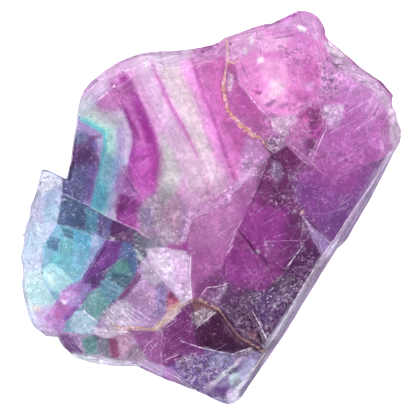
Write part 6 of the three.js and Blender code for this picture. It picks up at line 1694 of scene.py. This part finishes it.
# The pale ridge edge is partly crumbling and partly a painted highlight.
worn_edge_highlight = times(tree, between(tree, edge, 0.36, 0.24), patchy)
seen = laid(seen, worn_edge_highlight, strength=0.25, colour=WHITE)
scratch = sums(
    tree, "MAXIMUM",
    ruled(Angle=-0.6, Row=2.3, Reach=9.0, Width=0.06, Share=0.35, Seed=1.0),
    ruled(Angle=-0.45, Row=3.1, Reach=7.0, Width=0.07, Share=0.3, Seed=5.0),
)
steeper = ruled(Angle=0.95, Row=3.0, Reach=6.0, Width=0.06, Share=0.25, Seed=8.0)
scratch = sums(tree, "MAXIMUM", scratch, steeper)
seen = laid(seen, scratch, strength=0.30, colour=WHITE)
dark_vein = use(tree, veins, Spot=spot, Size=7.0, Width=0.008, Seed=3.0)
seen = laid(seen, dark_vein, strength=0.12, colour=DUSK)

# %% [markdown]
# ## Cracks and clay, with painted shadows and highlights
#
# The open cracks are dark, and so are the painted shadows along some steps and rims. The fresh edges
# and hairlines are bright, and some bright lines are painted highlights along ridges. Healed cracks
# are filled: some with pale clay that rust has stained, others with drab silt. Each comes from the
# line distances, roughened so that nothing looks ruled.

# %% Fill the cracks
CRACK_AND_SHADOW = (0.10, 0.015, 0.11, 1)
BRIGHT = (0.95, 0.92, 0.96, 1)
RUST = (0.40, 0.20, 0.18, 1)
OCHRE = (0.70, 0.46, 0.24, 1)
CREAM = (0.88, 0.76, 0.70, 1)
DRAB = (0.26, 0.15, 0.15, 1)
SAND = (0.72, 0.52, 0.42, 1)


def line_mark(name, stray):
    side, gap = kept(name + "_side"), kept(name + "_gap")
    return use(tree, drawn, Spot=spot, Side=side, Gap=gap, Stray=stray)


# Dark lines are open cracks, and some of them are painted shadows along steps and rims.
crack = line_mark("dark", 1.6)
seen = laid(seen, crack, strength=0.6, colour=CRACK_AND_SHADOW)
hair = times(tree, line_mark("hair", 2.2), between(tree, speck, 0.36, 0.54))
seen = laid(seen, hair, strength=0.42, colour=WHITE)
# Bright lines are fresh edges, and some of them are painted highlights along ridges.
bright = times(tree, line_mark("bright", 1.8), between(tree, speck, 0.36, 0.54))
seen = laid(seen, bright, strength=0.85, colour=BRIGHT)
crumbly = between(tree, speck, 0.38, 0.50, 0.25, 1.0)
clay = times(tree, line_mark("clay", 3.2), crumbly)
silt = times(tree, line_mark("silt", 3.0), crumbly)
stain = grain(tree, spot, 1.1, 4.0, 0.75)
clay_tint = blend(tree, between(tree, stain, 0.34, 0.46), RUST, OCHRE)
clay_tint = blend(tree, between(tree, stain, 0.46, 0.58), clay_tint, CREAM)
seen = laid(seen, clay, strength=0.9, colour=clay_tint)
silt_tint = blend(tree, between(tree, stain, 0.42, 0.60), DRAB, SAND)
seen = laid(seen, silt, strength=0.85, colour=silt_tint)

# %% [markdown]
# ## Into the shader
#
# The colour is squared on the way in, because glass of a colour lets through its root at each of the
# two faces that light crosses, and the underside is left nearly clear. Clay is earth, so it is dull,
# and frost is duller than glass. A little fine bump breaks up the shine.

# %% Join it to the shader
tree.links.new(vectors(tree, "MULTIPLY", seen, seen), shader.inputs["Base Color"])
rough = sums(tree, "ADD", 0.06, times(tree, sugar_here, 0.35))
rough = sums(tree, "MAXIMUM", rough, times(tree, sums(tree, "MAXIMUM", clay, silt), 0.7))
rough = sums(tree, "MAXIMUM", rough, times(tree, steep_here, 0.85))
tree.links.new(rough, shader.inputs["Roughness"])
relief = times(tree, grain(tree, spot, 0.9, 3.0, 0.6), 0.06)
bump = put(tree, "ShaderNodeBump", {"Height": relief, "Strength": 0.6, "Distance": 0.001})
tree.links.new(bump.outputs["Normal"], shader.inputs["Normal"])
crystal.data.materials.append(glass)
print("glass:", len(tree.nodes), "nodes")

# %% [markdown]
# ## Floor and light
#
# Glass shows what is behind it, so it looks best over a pale floor that glows a little, like the
# table under a sheet of slides. The studio is pale near the horizon and much dimmer overhead, so
# that level faces don't mirror it into the dark colours. Two soft boxes put a shine on the leaves
# that happen to face them.

# %% Lay the floor and set the light
HALF = 1.5  # m
FLOOR_DROP = 0.0003  # m, so that the floor and the underside don't touch
HORIZON_GLOW, ZENITH_GLOW = 1.0, 0.30
floor_mesh = bpy.data.meshes.new("floor")
floor_mesh.from_pydata(
    [(x * HALF, y * HALF, -FLOOR_DROP) for x, y in ((-1, -1), (1, -1), (1, 1), (-1, 1))],
    [], [(0, 1, 2, 3)],
)
floor = bpy.data.objects.new("floor", floor_mesh)
bpy.context.collection.objects.link(floor)
paper = bpy.data.materials.new("pale floor")
paper.use_nodes = True
sheet = paper.node_tree.nodes["Principled BSDF"].inputs
sheet["Base Color"].default_value = (0.85, 0.85, 0.85, 1)
sheet["Roughness"].default_value = 0.9
sheet["Emission Color"].default_value = (1, 1, 1, 1)
sheet["Emission Strength"].default_value = 0.80
floor_mesh.materials.append(paper)

world = bpy.data.worlds.new("studio")
bpy.context.scene.world = world
world.use_nodes = True
sky = world.node_tree
gaze = put(sky, "ShaderNodeTexCoord").outputs["Generated"]
up = put(sky, "ShaderNodeSeparateXYZ", {"Vector": gaze})
glow = between(sky, up.outputs["Z"], 0.55, 0.95, HORIZON_GLOW, ZENITH_GLOW)
sky.links.new(glow, sky.nodes["Background"].inputs["Strength"])
sky.nodes["Background"].inputs["Color"].default_value = (1, 1, 1, 1)
bpy.context.scene.view_settings.view_transform = "Standard"


def softbox(name, where, size, power):
    light = bpy.data.lights.new(name, "AREA")
    light.shape = "SQUARE"
    light.size = size
    light.energy = power
    lamp = bpy.data.objects.new(name, light)
    lamp.location = where
    lamp.rotation_euler = Vector(where).to_track_quat("Z", "Y").to_euler()
    bpy.context.collection.objects.link(lamp)


softbox("key", (-0.22, 0.28, 0.60), 0.22, 4)
softbox("fill", (0.35, -0.1, 0.5), 0.3, 1.5)
print("floor", 2 * HALF, "m wide, two soft boxes")
